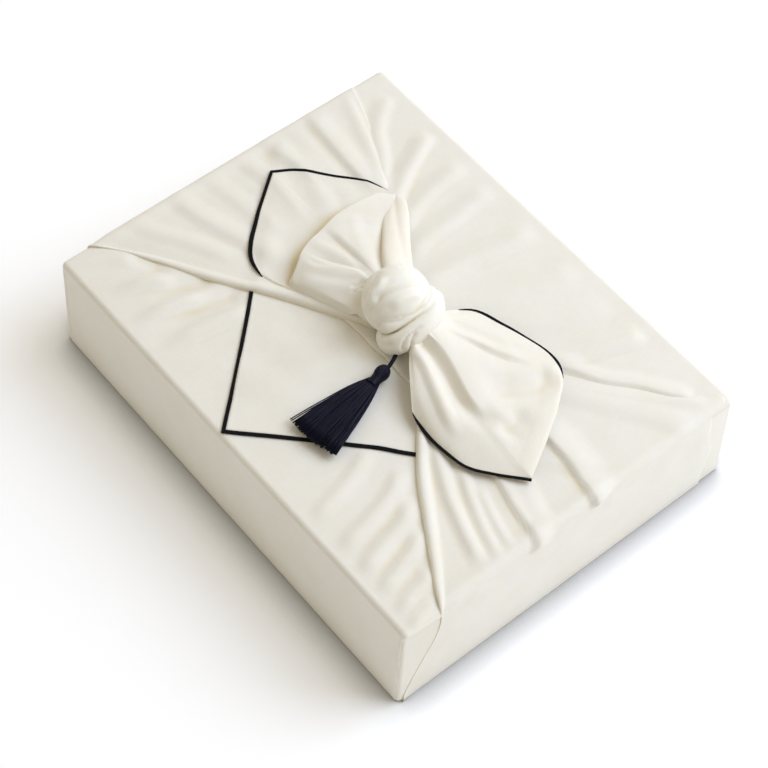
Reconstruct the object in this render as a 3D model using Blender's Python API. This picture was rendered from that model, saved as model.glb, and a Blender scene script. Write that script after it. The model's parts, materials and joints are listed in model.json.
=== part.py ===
"""Furoshiki wrap: a square of cream cloth folded round a flat gift box and tied on top.

Metres, +Z up. The origin is the middle of the underside. X runs along the box's long side.
The cloth is one solid: the layer next to the box, the four folds that cover it, the knot and
its two tails. The navy binding shows in four runs, and the tassel hangs from the knot.
"""

import math

import bmesh
import bpy
import numpy as np
from mathutils import Vector
from mathutils.bvhtree import BVHTree

MM = 0.001

# The parcel, outside to outside
LENGTH = 360 * MM
WIDTH = 277 * MM

# The cloth's layers: each lies on the one below with a small gap
CLOTH = 1.0 * MM
GAP = 0.3 * MM
EDGE_RADIUS = 4 * MM
FOOT_RADIUS = 3 * MM
NEAR_TOP = 85.0 * MM  # upper face of the near fold, which lies first
FAR_TOP = NEAR_TOP + CLOTH + GAP
END_TOP = FAR_TOP + CLOTH + GAP  # upper face of the two end folds, which lie last
INNER_SET = 0.7 * MM  # how far the layer next to the box lies behind the outer one
INNER_WALL = 1.6 * MM
INNER_RIM = 81.4 * MM
BOX_CLEAR = 1.2 * MM
BOX_EDGE = 4 * MM

# The navy binding and the tassel
BIND_HALF = 1.6 * MM
BIND_DEEP = 0.9 * MM
HEAD_RADIUS = 5.8 * MM
NECK_RADIUS = 4.0 * MM
CORD_RADIUS = 1.1 * MM

CREAM = (0.82, 0.78, 0.68, 1)
NAVY = (0.006, 0.007, 0.016, 1)
CARD = (0.62, 0.55, 0.44, 1)

# The near and far folds: on a long face each stops short of the corner, where a pleat shows
SIDE_SEAM = 176 * MM
SEAM_RISE = 79.6 * MM  # above this the fold rolls over the short edge as well
NEAR_END = 60 * MM  # where the near fold ends, hidden under the far one
V_TIP = (-2 * MM, -132.4 * MM)  # the far fold ends in the cloth's own corner, a right angle
V_RUN = (-80.0 * MM, 80.5 * MM)  # between which the end folds leave its two edges bare

# End folds, from the knot out over the edge and down to the foot (mm).
# Columns: distance from the middle, near edge y, far edge y, rise towards the knot.
LEFT_END = ((9, -12, 24, 12), (20, -18, 31, 7), (38, -28, 43, 3), (60, -40, 58, 1),
            (86, -57, 72, 0), (110, -71, 84, 0), (140, -87, 97, 0), (168, -106, 108, 0),
            (178, -115, 111, 0), (190, -117, 113, 0), (215, -121, 117, 0),
            (240, -128, 126, 0), (270, -134, 134, 0))
RIGHT_END = ((20, -12, 22, 12), (32, -19, 28, 7), (48, -29, 37, 3), (72, -43, 50, 1),
             (99, -61, 65, 0), (124, -77, 87, 0), (150, -93, 110, 0), (174, -107, 130, 0),
             (182, -110, 131, 0), (187, -110, 121, 0), (215, -112, 123, 0),
             (235, -122, 127, 0), (252, -129, 122, 0), (270, -134, 121, 0))

# Folds that run from the knot out to the edge of an end fold.
# Columns: place across (0 near edge, 1 far edge), height mm, half-width towards the near
# edge, half-width towards the far edge, distance from the middle where it is gone (mm).
LEFT_FOLDS = ((0.020, 3.6, 0.05, 0.045, 176), (0.22, 1.2, 0.08, 0.07, 186),
              (0.40, 1.6, 0.09, 0.06, 186), (0.56, 2.0, 0.08, 0.05, 187),
              (0.68, 2.6, 0.07, 0.03, 188), (0.81, 3.0, 0.08, 0.03, 187),
              (0.93, 3.0, 0.07, 0.05, 188))
RIGHT_FOLDS = ((0.025, 2.8, 0.04, 0.040, 186), (0.12, 2.4, 0.05, 0.05, 182),
               (0.20, 2.0, 0.04, 0.05, 178), (0.285, 3.4, 0.07, 0.028, 188),
               (0.39, 2.4, 0.06, 0.05, 180), (0.475, 3.6, 0.05, 0.028, 188),
               (0.62, 1.6, 0.10, 0.12, 182), (0.93, 2.2, 0.12, 0.05, 184))

# Outlines of the tails, in order round the free edge (mm). Columns: share, x, y, z.
RIGHT_LOWER = ((0.00, 67, -38, 98), (0.12, 84, -39.5, 95), (0.22, 99, -38, 94),
               (0.33, 116, -34, 93.5), (0.42, 129, -25.5, 93.5), (0.54, 147.5, -9.5, 94))
RIGHT_UPPER = ((0.54, 147.5, -9.5, 94), (0.64, 133.5, 17, 97), (0.73, 116.5, 43, 99),
               (0.79, 104, 57, 99), (0.85, 84, 64, 96), (0.91, 65, 61.5, 94),
               (0.96, 41.5, 56, 93), (1.00, 22, 46, 93.5))
LEFT_RIM = ((0.00, -66, -33, 94), (0.08, -68.5, -28, 99), (0.18, -73.5, -18, 105),
            (0.30, -78, -7, 106), (0.42, -81.5, 6, 107), (0.54, -84, 21, 107),
            (0.68, -85.5, 36, 105), (0.84, -87, 55, 101), (0.93, -85, 63, 99),
            (1.00, -81, 68, 97))
PANEL_LOWER = ((0.00, -58, -32, 92), (0.10, -71, -37, 92), (0.20, -85, -41.5, 92),
               (0.28, -95, -41.5, 92), (0.34, -103.5, -37.5, 92), (0.42, -112, -30.5, 92),
               (0.50, -122, -19.5, 92), (0.64, -150, 17.5, 92))
PANEL_UPPER = ((0.64, -150, 17.5, 92), (0.72, -143, 28.5, 92), (0.80, -131, 39.5, 92),
               (0.89, -110, 55, 92.5), (1.00, -84, 68.5, 94))
# Where each tail leaves the knot (mm). Columns: share, x, y, z.
RIGHT_THROAT = ((0.0, 22, -6, 104), (0.35, 17, 0, 110), (0.7, 15, 10, 111), (1.0, 14, 24, 104))
LEFT_THROAT = ((0.0, -10, -11, 97), (0.3, -16, -3, 106), (0.6, -14, 8, 112), (1.0, -9, 25, 110))
PANEL_THROAT = ((0.0, -12, -9, 94), (1.0, -12, 16, 94))
# Where each tail is halfway out to its free edge (mm). Columns: share, x, y, z.
RIGHT_BELLY = ((0.00, 44, -22, 103), (0.12, 53, -23, 105), (0.33, 68, -18, 106),
               (0.54, 84, -5, 104), (0.73, 70, 24, 106), (0.85, 52, 42, 102), (1.00, 20, 37, 98))
LEFT_BELLY = ((0.00, -39, -22, 97), (0.18, -45, -12, 105), (0.42, -51, 5, 109),
              (0.68, -53, 24, 109), (0.84, -51, 39, 110), (1.00, -45, 52, 107))
PANEL_BELLY = ((0.00, -35, -22, 94), (0.28, -56, -24, 93), (0.64, -82, 8, 92.5),
               (0.80, -72, 27, 93), (1.00, -50, 43, 95))
# Folds in the tails. Columns: place at the knot, place at the rim, height mm, half-width
# on the side of lower shares, half-width on the other side.
RIGHT_TAIL_FOLDS = ((0.10, 0.09, 3.5, 0.10, 0.09), (0.26, 0.27, 3.0, 0.08, 0.12),
                    (0.62, 0.60, 5.5, 0.20, 0.16), (0.86, 0.86, 2.6, 0.09, 0.08),
                    (0.97, 0.97, 1.6, 0.05, 0.05))
LEFT_TAIL_FOLDS = ((0.08, 0.10, 3.5, 0.10, 0.08), (0.30, 0.28, 5.0, 0.12, 0.10),
                   (0.55, 0.55, 6.0, 0.14, 0.16), (0.86, 0.86, 6.0, 0.08, 0.12))

# The knot's wraps: centre line points (mm), then half-width and half-thickness.
KNOT_CORE = (-1 * MM, 3 * MM, 104 * MM)
DOME = {"centre": (-5, 4, 111), "radii": (18.5, 25, 24)}
COLLAR = {"line": ((-4, -18, 95), (4, -15, 104), (12, -12, 110), (17, -7, 116), (18, 4, 120),
                   (17, 15, 120), (12, 26, 115), (4, 33, 106), (-4, 31, 96)),
          "half_width": 6.0, "half_thick": 5.5}
LOWER_WRAP = {"line": ((4, -13, 93), (12, -16, 97), (20, -14, 102), (24, -7, 106),
                       (24, 4, 108), (20, 18, 108), (12, 29, 103), (3, 33, 95)),
              "half_width": 9.0, "half_thick": 7.0}
SMALL_TUCK = {"line": ((25, -13, 94), (29, -10, 99), (30, -4, 104), (27, 4, 107)),
              "half_width": 4.5, "half_thick": 4.5}

# The tassel lies on the far fold, from the knot towards the near edge (mm).
TASSEL_HEAD = (27.5, -31, 92.4)
TASSEL_NECK = (29.0, -38.5, 91.6)
TASSEL_END = (38.5, -96, 92.7)
TASSEL_CORD = ((26.2, -24.8, 93.0), (24.6, -20.5, 93.0), (22.0, -15.8, 92.5))
# Columns: share along the skirt, half-width mm, half-height mm.
SKIRT = ((0.0, 4.2, 3.6), (0.15, 6.5, 4.4), (0.4, 10.2, 5.0), (0.7, 14.6, 5.2), (1.0, 18.0, 5.0))


def start_empty():
    for thing in list(bpy.data.objects):
        bpy.data.objects.remove(thing)


def finish(name, colour, roughness):
    made = bpy.data.materials.new(name)
    made.use_nodes = True
    shader = made.node_tree.nodes["Principled BSDF"]
    shader.inputs["Base Color"].default_value = colour
    shader.inputs["Roughness"].default_value = roughness
    return made


def smooth(table, at):
    """A table's other columns at values of its first one, on a smooth curve through its rows."""
    table = np.array(table, float)
    at = np.clip(np.asarray(at, float), table[0, 0], table[-1, 0])
    first, rest = table[:, 0], table[:, 1:]
    slope = np.gradient(rest, first, axis=0)
    row = np.clip(np.searchsorted(first, at, side="right") - 1, 0, len(first) - 2)
    step = (first[row + 1] - first[row])[..., None]
    s = (at - first[row])[..., None] / step
    return (
        (1 + 2 * s) * (1 - s) ** 2 * rest[row]
        + s * (1 - s) ** 2 * step * slope[row]
        + s * s * (3 - 2 * s) * rest[row + 1]
        + s * s * (s - 1) * step * slope[row + 1]
    )


def line_through(points, count):
    """Evenly read points on a smooth line through the given ones."""
    points = np.array(points, float)
    along = np.concatenate([[0], np.cumsum(np.linalg.norm(np.diff(points, axis=0), axis=1))])
    return smooth(np.column_stack([along, points]), np.linspace(0, along[-1], count))


def hump(across, place, low_side, high_side):
    """1 on a fold's crest, falling smoothly to 0 at its half-width on either side."""
    off = across - place
    share = np.where(off < 0, -off / low_side, off / high_side)
    return 0.5 + 0.5 * np.cos(np.pi * np.clip(share, 0, 1))


def over_edge(distance, half, top, depth=0.0):
    """Out from the middle and height of cloth that turns down over an edge to the foot.

    depth is how far below the cloth's upper face the surface lies.
    """
    beyond = np.abs(distance) - (half - EDGE_RADIUS)
    face = top - EDGE_RADIUS - FOOT_RADIUS
    past = beyond - EDGE_RADIUS * math.pi / 2
    turn = np.clip(beyond / EDGE_RADIUS, 0, math.pi / 2)
    fall = np.clip(past, 0, face)
    tuck = np.clip(past - face, 0, FOOT_RADIUS) / FOOT_RADIUS
    out = half - EDGE_RADIUS + np.minimum(beyond, 0) + (EDGE_RADIUS - depth) * np.sin(turn)
    out = out - (FOOT_RADIUS - depth) * (1 - np.cos(tuck))
    height = top - EDGE_RADIUS + (EDGE_RADIUS - depth) * np.cos(turn) - fall
    height = height - (FOOT_RADIUS - depth) * np.sin(tuck)
    return out * np.sign(distance), height


def foot_distance(half, top):
    """The distance over an edge at which the cloth has turned in under the foot."""
    return half + EDGE_RADIUS * (math.pi / 2 - 2) + top - FOOT_RADIUS + FOOT_RADIUS


def normals(grid):
    across = np.gradient(grid, axis=0)
    along = np.gradient(grid, axis=1)
    normal = np.cross(across, along)
    return normal / np.linalg.norm(normal, axis=2, keepdims=True)


def closed_mesh(name, points, faces, material):
    mesh = bpy.data.meshes.new(name)
    mesh.from_pydata([tuple(p) for p in points], [], faces)
    work = bmesh.new()
    work.from_mesh(mesh)
    bmesh.ops.recalc_face_normals(work, faces=work.faces)
    work.to_mesh(mesh)
    work.free()
    if material:
        mesh.materials.append(material)
    made = bpy.data.objects.new(name, mesh)
    bpy.context.scene.collection.objects.link(made)
    return made


def sheet(name, grid, material, under=None):
    """A solid layer of cloth from the grid of points on its upper face, and on its lower one."""
    wide, long = grid.shape[:2]
    if under is None:
        under = grid - normals(grid) * CLOTH
    points = np.concatenate([grid.reshape(-1, 3), under.reshape(-1, 3)])
    count = wide * long

    def at(i, j, layer=0):
        return layer * count + i * long + j

    faces = []
    for i in range(wide - 1):
        for j in range(long - 1):
            faces.append((at(i, j), at(i + 1, j), at(i + 1, j + 1), at(i, j + 1)))
            faces.append((at(i, j, 1), at(i, j + 1, 1), at(i + 1, j + 1, 1), at(i + 1, j, 1)))
    rim = [(i, 0) for i in range(wide)] + [(wide - 1, j) for j in range(1, long)]
    rim += [(i, long - 1) for i in range(wide - 2, -1, -1)] + [(0, j) for j in range(long - 2, 0, -1)]
    for here, there in zip(rim, rim[1:] + rim[:1]):
        faces.append((at(*there), at(*here), at(*here, 1), at(*there, 1)))
    return closed_mesh(name, points, faces, material)


def rings_solid(name, rings, material):
    """A solid from rings of equally many points, closed at both ends by a fan."""
    count, sides = rings.shape[:2]
    points = list(rings.reshape(-1, 3)) + [rings[0].mean(axis=0), rings[-1].mean(axis=0)]
    faces = []
    for i in range(count - 1):
        for k in range(sides):
            after = (k + 1) % sides
            faces.append((i * sides + k, i * sides + after, (i + 1) * sides + after, (i + 1) * sides + k))
    for k in range(sides):
        after = (k + 1) % sides
        faces.append((count * sides, after, k))
        faces.append((count * sides + 1, (count - 1) * sides + k, (count - 1) * sides + after))
    return closed_mesh(name, points, faces, material)


def swept(name, line, half_width, half_thick, outward, material, sides=12, full=2.0):
    """A band swept along a line. outward gives the way its thickness points at each point."""
    ahead = np.gradient(line, axis=0)
    ahead /= np.linalg.norm(ahead, axis=1, keepdims=True)
    out = outward - ahead * (outward * ahead).sum(axis=1, keepdims=True)
    out /= np.linalg.norm(out, axis=1, keepdims=True)
    side = np.cross(ahead, out)
    turn = np.arange(sides) * 2 * math.pi / sides + math.pi / sides
    wide = np.sign(np.cos(turn)) * np.abs(np.cos(turn)) ** (2 / full)
    high = np.sign(np.sin(turn)) * np.abs(np.sin(turn)) ** (2 / full)
    half_width = np.broadcast_to(half_width, len(line))[:, None, None]
    half_thick = np.broadcast_to(half_thick, len(line))[:, None, None]
    rings = line[:, None] + side[:, None] * wide[None, :, None] * half_width
    rings = rings + out[:, None] * high[None, :, None] * half_thick
    return rings_solid(name, rings, material)


def rounded_block(name, half_x, half_y, low, high, radius, steps, material):
    """A block with all its edges rounded."""
    mesh = bpy.data.meshes.new(name)
    work = bmesh.new()
    bmesh.ops.create_cube(work, size=1)
    for v in work.verts:
        v.co = Vector((v.co.x * 2 * half_x, v.co.y * 2 * half_y, low + (v.co.z + 0.5) * (high - low)))
    bmesh.ops.bevel(work, geom=list(work.edges), offset=radius, segments=steps, profile=0.5,
                    affect="EDGES", clamp_overlap=True)
    work.to_mesh(mesh)
    work.free()
    mesh.materials.append(material)
    made = bpy.data.objects.new(name, mesh)
    bpy.context.scene.collection.objects.link(made)
    return made


def combine(base, other, operation):
    """Join other to base, or cut it away, and keep the result as base's own mesh."""
    step = base.modifiers.new(operation.lower(), "BOOLEAN")
    step.operation = operation
    step.solver = "EXACT"
    step.object = other
    bpy.context.view_layer.update()
    result = bpy.data.meshes.new_from_object(base.evaluated_get(bpy.context.evaluated_depsgraph_get()))
    base.modifiers.clear()
    base.data = result
    bpy.data.objects.remove(other)


def keep_outer_skin(thing):
    """Drop the small closed pockets that are left between wraps inside the knot."""
    work = bmesh.new()
    work.from_mesh(thing.data)
    left, groups = set(work.verts), []
    while left:
        group, edge = set(), [left.pop()]
        while edge:
            v = edge.pop()
            group.add(v)
            for e in v.link_edges:
                other = e.other_vert(v)
                if other in left:
                    left.discard(other)
                    edge.append(other)
        groups.append(group)
    groups.sort(key=len)
    for group in groups[:-1]:
        bmesh.ops.delete(work, geom=list(group), context="VERTS")
    work.to_mesh(thing.data)
    work.free()


def block(low, high):
    """A plain cutter between two opposite corners."""
    outline_at = ((low[0], low[1]), (high[0], low[1]), (high[0], high[1]), (low[0], high[1]))
    return prism(outline_at, low[2], high[2])


def prism(outline_at, low, high):
    """A cutter that stands on a flat outline."""
    count = len(outline_at)
    points = [(x, y, low) for x, y in outline_at] + [(x, y, high) for x, y in outline_at]
    faces = [tuple(range(count)), tuple(range(count, 2 * count))]
    faces += [(k, (k + 1) % count, (k + 1) % count + count, k + count) for k in range(count)]
    made = closed_mesh("cutter", points, faces, None)
    made.hide_render = True
    made.display_type = "WIRE"
    return made


def side_fold(name, sign, set_in, top, rise, cutter, material):
    """A fold that covers one long face and the top. sign is -1 for the near one."""
    half_x, half_y, low = LENGTH / 2 - set_in, WIDTH / 2, 0.4 * MM
    fold = rounded_block(name, half_x, half_y, low, top, EDGE_RADIUS, 3, material)
    hollow = rounded_block("hollow", half_x - CLOTH, half_y - CLOTH, low + CLOTH, top - CLOTH,
                           EDGE_RADIUS - CLOTH, 2, material)
    combine(fold, hollow, "DIFFERENCE")
    combine(fold, cutter, "DIFFERENCE")
    for x in (-1, 1):
        near_x, far_x = sorted((x * SIDE_SEAM, x * LENGTH))
        combine(fold, block((near_x, -WIDTH, -0.1), (far_x, WIDTH, rise)), "DIFFERENCE")
    return fold


def v_outline():
    """All that the far fold leaves bare: the ground on the near side of its two edges."""
    far = LENGTH / 2 + 30 * MM
    left, right = V_TIP[1] + far + V_TIP[0], V_TIP[1] + far - V_TIP[0]
    return ((-far, -WIDTH), (far, -WIDTH), (far, right), V_TIP, (-far, left))


def end_fold(name, table, folds, sign, material):
    """An end fold: gathered at the knot, spread over the edge, down the face to the foot."""
    foot = foot_distance(LENGTH / 2, END_TOP)
    first = table[0][0] * MM
    stations = np.array([foot, foot - FOOT_RADIUS, 236 * MM, 213 * MM, 193 * MM, 188.5 * MM, 183 * MM,
                         180.6 * MM, 178.6 * MM, 176 * MM, 168 * MM, 150 * MM, 130 * MM, 108 * MM,
                         86 * MM, 62 * MM, 42 * MM, 28 * MM, first])
    places = [0, 1]
    for place, _, low, high, _ in folds:
        places += [place - low * 0.9, place, place + high * 0.9]
    columns = np.array(sorted({round(min(max(p, 0), 1), 3) for p in places}))
    columns = columns[np.concatenate([[True], np.diff(columns) > 0.012])]
    edges = smooth(table, stations / MM) * MM
    near, far, rise = edges[:, 0], edges[:, 1], edges[:, 2]
    lift = np.zeros((len(columns), len(stations)))
    for place, tall, low, high, gone in folds:
        fade = np.clip((gone * MM - stations) / (14 * MM), 0, 1)
        lift = np.maximum(lift, hump(columns, place, low, high)[:, None] * tall * MM * fade)

    def surface(depth):
        out, height = over_edge(stations, LENGTH / 2, END_TOP, depth)
        rows = [np.column_stack([sign * out, near + (far - near) * c, height + rise]) for c in columns]
        return np.array(rows)

    upper, lower = surface(0), surface(CLOTH)
    raised = (upper - lower) / CLOTH * lift[:, :, None]
    order = slice(None, None, 1 if sign > 0 else -1)
    return sheet(name, (upper + raised)[order], material, (lower + raised)[order])


def outline(parts, shares):
    """The free edge of a tail, from one or more smooth parts that meet at a corner."""
    found = np.zeros((len(shares), 3))
    for part in parts:
        inside = (shares >= part[0][0] - 1e-9) & (shares <= part[-1][0] + 1e-9)
        found[inside] = smooth(part, shares[inside]) * MM
    return found


def fan(throat, belly, parts, folds, columns, rows, ground, clear):
    """A tail that spreads from the knot to its free edge, kept clear of what it lies on."""
    corners = [part[-1][0] for part in parts[:-1]]
    shares = np.array(sorted(set(np.round(np.linspace(0, 1, columns), 4)) | set(corners)))
    run = np.linspace(0, 1, rows) ** 0.9
    start, half, end = smooth(throat, shares) * MM, smooth(belly, shares) * MM, outline(parts, shares)
    weights = ((1 - run) * (1 - 2 * run), 4 * run * (1 - run), run * (2 * run - 1))
    grid = sum(w[None, :, None] * line[:, None] for w, line in zip(weights, (start, half, end)))
    for at_knot, at_rim, tall, low, high in folds:
        place = at_knot + (at_rim - at_knot) * run
        shape = hump(shares[:, None], place[None], low, high)
        grid[:, :, 2] += shape * tall * MM * (np.sin(np.pi * np.clip(run * 0.93 + 0.02, 0, 1)) ** 0.7)[None]
    for i in range(grid.shape[0]):
        for j in range(rows):
            floor = ground(grid[i, j, 0], grid[i, j, 1])
            grid[i, j, 2] = max(grid[i, j, 2], floor + clear)
    return grid


def rolled_lip(edge):
    """Two more rows that roll a tail's rim over, down to the panel it lies on."""
    first = edge + np.array([-1.8, 0, -2.0]) * MM
    last = edge + np.array([-3.4, 0, -6.5]) * MM
    last[:, 2] = np.clip(last[:, 2], 92.5 * MM, first[:, 2] - 0.8 * MM)
    return np.stack([first, last], axis=1)


def ground_under(*things):
    """A reader of the highest point of the given solids at a place."""
    trees = [BVHTree.FromObject(t, bpy.context.evaluated_depsgraph_get()) for t in things]

    def highest(x, y):
        best = 0.0
        for dx, dy in ((0, 0), (2 * MM, 0), (-2 * MM, 0), (0, 2 * MM), (0, -2 * MM)):
            for tree in trees:
                hit = tree.ray_cast(Vector((x + dx, y + dy, 0.3)), Vector((0, 0, -1)))[0]
                if hit is not None:
                    best = max(best, hit.z)
        return best

    return highest


def mitred(line):
    """The direction along a line at each point and how much wider a strip is at its corners."""
    step = np.diff(line, axis=0)
    step /= np.linalg.norm(step, axis=1, keepdims=True)
    before, after = np.vstack([step[:1], step]), np.vstack([step, step[-1:]])
    ahead = before + after
    ahead /= np.linalg.norm(ahead, axis=1, keepdims=True)
    return ahead, 1 / np.clip((ahead * after).sum(axis=1), 0.6, 1)


def binding(name, edge, middle, ground, material):
    """The navy binding along a free edge: a flat rounded strip just outside it."""
    ahead, wider = mitred(edge)
    away = np.column_stack([ahead[:, 1], -ahead[:, 0], np.zeros(len(edge))])
    away /= np.linalg.norm(away, axis=1, keepdims=True)
    side = np.sign((away * (edge - middle)).sum())
    centre = edge + away * side * (wider * (BIND_HALF + 1.6 * GAP))[:, None]
    centre[:, 2] -= CLOTH / 2
    floor = np.array([ground(x, y) for x, y, _ in centre]) + GAP + BIND_DEEP
    centre[:, 2] = np.maximum(centre[:, 2], floor)
    rings = []
    turn = (np.arange(8) + 0.5) * math.pi / 4
    wide = np.sign(np.cos(turn)) * np.abs(np.cos(turn)) ** 0.6
    high = np.sign(np.sin(turn)) * np.abs(np.sin(turn)) ** 0.6
    for point, out, stretch in zip(centre, away, wider):
        ring = point + out * wide[:, None] * BIND_HALF * stretch
        rings.append(ring + np.array([0.0, 0.0, 1.0]) * high[:, None] * BIND_DEEP)
    return rings_solid(name, np.array(rings), material)


def v_binding(ground, material):
    """The binding on the far fold's corner, as far as the end folds' edges."""
    left = (V_RUN[0], V_TIP[1] - V_RUN[0] + V_TIP[0], FAR_TOP)
    right = (V_RUN[1], V_TIP[1] + V_RUN[1] - V_TIP[0], FAR_TOP)
    edge = np.array([left, (V_TIP[0], V_TIP[1], FAR_TOP), right])
    return binding("binding_far_flap", edge, np.array([0, 0, FAR_TOP]), ground, material)


def tail_run(part, first, last, steps):
    """Points along a tail's outline between two shares."""
    return smooth(part, np.linspace(first, last, steps)) * MM


def knot_band(name, table, material, sides, steps):
    line = line_through(table["line"], steps) * MM
    share = np.linspace(-1, 1, steps)
    taper = np.sqrt(np.clip(1 - np.abs(share) ** 5, 0.04, 1))
    outward = line - np.array(KNOT_CORE)
    return swept(name, line, table["half_width"] * MM * taper, table["half_thick"] * MM * taper,
                 outward, material, sides=sides)


def knot_dome(material):
    mesh = bpy.data.meshes.new("dome")
    work = bmesh.new()
    bmesh.ops.create_uvsphere(work, u_segments=20, v_segments=14, radius=1)
    for v in work.verts:
        v.co = Vector([c * MM + r * MM * q for c, r, q in zip(DOME["centre"], DOME["radii"], v.co)])
    work.to_mesh(mesh)
    work.free()
    mesh.materials.append(material)
    made = bpy.data.objects.new("dome", mesh)
    bpy.context.scene.collection.objects.link(made)
    return made


def inner_layer(material):
    """The layer next to the box: an open tray of cloth with rounded corners."""
    half_x, half_y = LENGTH / 2 - INNER_SET, WIDTH / 2 - INNER_SET
    tray = rounded_block("cloth", half_x, half_y, 0, INNER_RIM + 8 * MM, EDGE_RADIUS, 3, material)
    hollow = rounded_block("hollow", half_x - INNER_WALL, half_y - INNER_WALL, INNER_WALL,
                           INNER_RIM + 16 * MM, 2.5 * MM, 2, material)
    top = rounded_block("top", LENGTH, WIDTH, INNER_RIM, INNER_RIM + 40 * MM, 1 * MM, 1, material)
    combine(tray, hollow, "DIFFERENCE")
    combine(tray, top, "DIFFERENCE")
    return tray


def tassel(material):
    head, neck, end = (np.array(p) * MM for p in (TASSEL_HEAD, TASSEL_NECK, TASSEL_END))
    level = np.array([0.0, 0.0, 1.0])
    axis = (neck - head) / np.linalg.norm(neck - head)
    turn = np.linspace(0.14, math.pi - 0.14, 9)
    rings_at = head - axis[None] * (np.cos(turn) * HEAD_RADIUS)[:, None]
    wide = HEAD_RADIUS * np.sin(turn)
    up = np.tile(level, (9, 1))
    swept("tassel_head", rings_at, wide, wide, up, material, sides=16)
    neck_line = np.linspace(head + axis * (HEAD_RADIUS + GAP), head + axis * (HEAD_RADIUS + 6 * MM), 4)
    swept("tassel_neck", neck_line, NECK_RADIUS, NECK_RADIUS * 0.92, up[:4], material, sides=16)
    start = head + axis * (HEAD_RADIUS + 6 * MM + 3 * GAP)
    share = np.linspace(0, 1, 9)
    sizes = smooth(SKIRT, share) * MM
    line = start[None] * (1 - share)[:, None] + end[None] * share[:, None]
    swept("tassel_skirt", line, sizes[:, 0], sizes[:, 1], up, material, sides=20, full=2.3)
    cord = line_through(TASSEL_CORD, 7) * MM
    swept("tassel_cord", cord, CORD_RADIUS, CORD_RADIUS, up[:7], material, sides=10)


def build():
    start_empty()
    cream, navy, card = finish("cream cloth", CREAM, 0.8), finish("navy", NAVY, 0.5), finish("card", CARD, 0.9)
    near_cut = block((-LENGTH, NEAR_END, -0.1), (LENGTH, WIDTH, 0.2))
    near = side_fold("near fold", -1, 0.5 * MM, NEAR_TOP, SEAM_RISE, near_cut, cream)
    far_cut = prism(v_outline(), -0.1, 0.2)
    far = side_fold("far fold", 1, 0.2 * MM, FAR_TOP, SEAM_RISE + CLOTH, far_cut, cream)
    left = end_fold("left end fold", LEFT_END, LEFT_FOLDS, -1, cream)
    right = end_fold("right end fold", RIGHT_END, RIGHT_FOLDS, 1, cream)
    ground, top_level = ground_under(near, far, left, right), ground_under(near)

    panel = fan(PANEL_THROAT, PANEL_BELLY, (PANEL_LOWER, PANEL_UPPER), (), 17, 8, ground, 1.9 * MM)
    rim = fan(LEFT_THROAT, LEFT_BELLY, (LEFT_RIM,), LEFT_TAIL_FOLDS, 25, 11, ground, 3 * MM)
    rim = np.concatenate([rim, rolled_lip(rim[:, -1])], axis=1)
    rim_under = rim - np.array([0, 0, 1.2]) * MM
    rim_under[:, -2:] = rim[:, -2:] + np.array([0.9, 0, -0.5]) * MM
    spread = fan(RIGHT_THROAT, RIGHT_BELLY, (RIGHT_LOWER, RIGHT_UPPER), RIGHT_TAIL_FOLDS, 27, 11,
                 ground, 2.0 * MM)

    cloth = inner_layer(cream)
    solids = [near, far, left, right, sheet("left panel", panel[::-1], cream),
              sheet("left fan", rim[::-1], cream, rim_under[::-1]),
              sheet("right fan", spread, cream, spread - np.array([0, 0, 1.2]) * MM), knot_dome(cream),
              knot_band("lower wrap", LOWER_WRAP, cream, 12, 18),
              knot_band("collar", COLLAR, cream, 10, 18), knot_band("tuck", SMALL_TUCK, cream, 8, 8)]
    for solid in solids:
        combine(cloth, solid, "UNION")
    keep_outer_skin(cloth)

    v_binding(top_level, navy)
    run = np.vstack([tail_run(PANEL_LOWER, 0.22, 0.64, 10), tail_run(PANEL_UPPER, 0.64, 0.97, 9)[1:]])
    binding("binding_left_tail", run, np.array([-110, 15, 92]) * MM, ground, navy)
    run = tail_run(RIGHT_UPPER, 0.79, 0.99, 9)
    binding("binding_right_tail_upper", run, np.array([80, 0, 97]) * MM, ground, navy)
    run = tail_run(RIGHT_LOWER, 0.02, 0.54, 12)
    binding("binding_right_tail_lower", run, np.array([80, 10, 97]) * MM, ground, navy)
    tassel(navy)
    half_x = LENGTH / 2 - INNER_SET - INNER_WALL - BOX_CLEAR
    half_y = WIDTH / 2 - INNER_SET - INNER_WALL - BOX_CLEAR
    rounded_block("box", half_x, half_y, INNER_WALL + GAP, NEAR_TOP - CLOTH - BOX_CLEAR, BOX_EDGE, 3, card)
    return cloth


build()
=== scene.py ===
# %% [markdown]
# # A furoshiki wrap
#
# A furoshiki is a square of cotton that wraps a box and ties on itself. This lesson builds the
# cloth the way it was folded: the layer next to the box, the near and far folds over it, the
# two end folds that run up to the knot, then the knot, its two tails, the navy binding and the
# tassel. Every size is in millimetres and is turned to metres only when a mesh is made.
#
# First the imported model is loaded. It is the frame that each piece has to fit.

# %% Load the frame
import json
import math

import bmesh
import bpy
import numpy as np
from mathutils import Matrix, Vector
from mathutils.bvhtree import BVHTree

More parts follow.
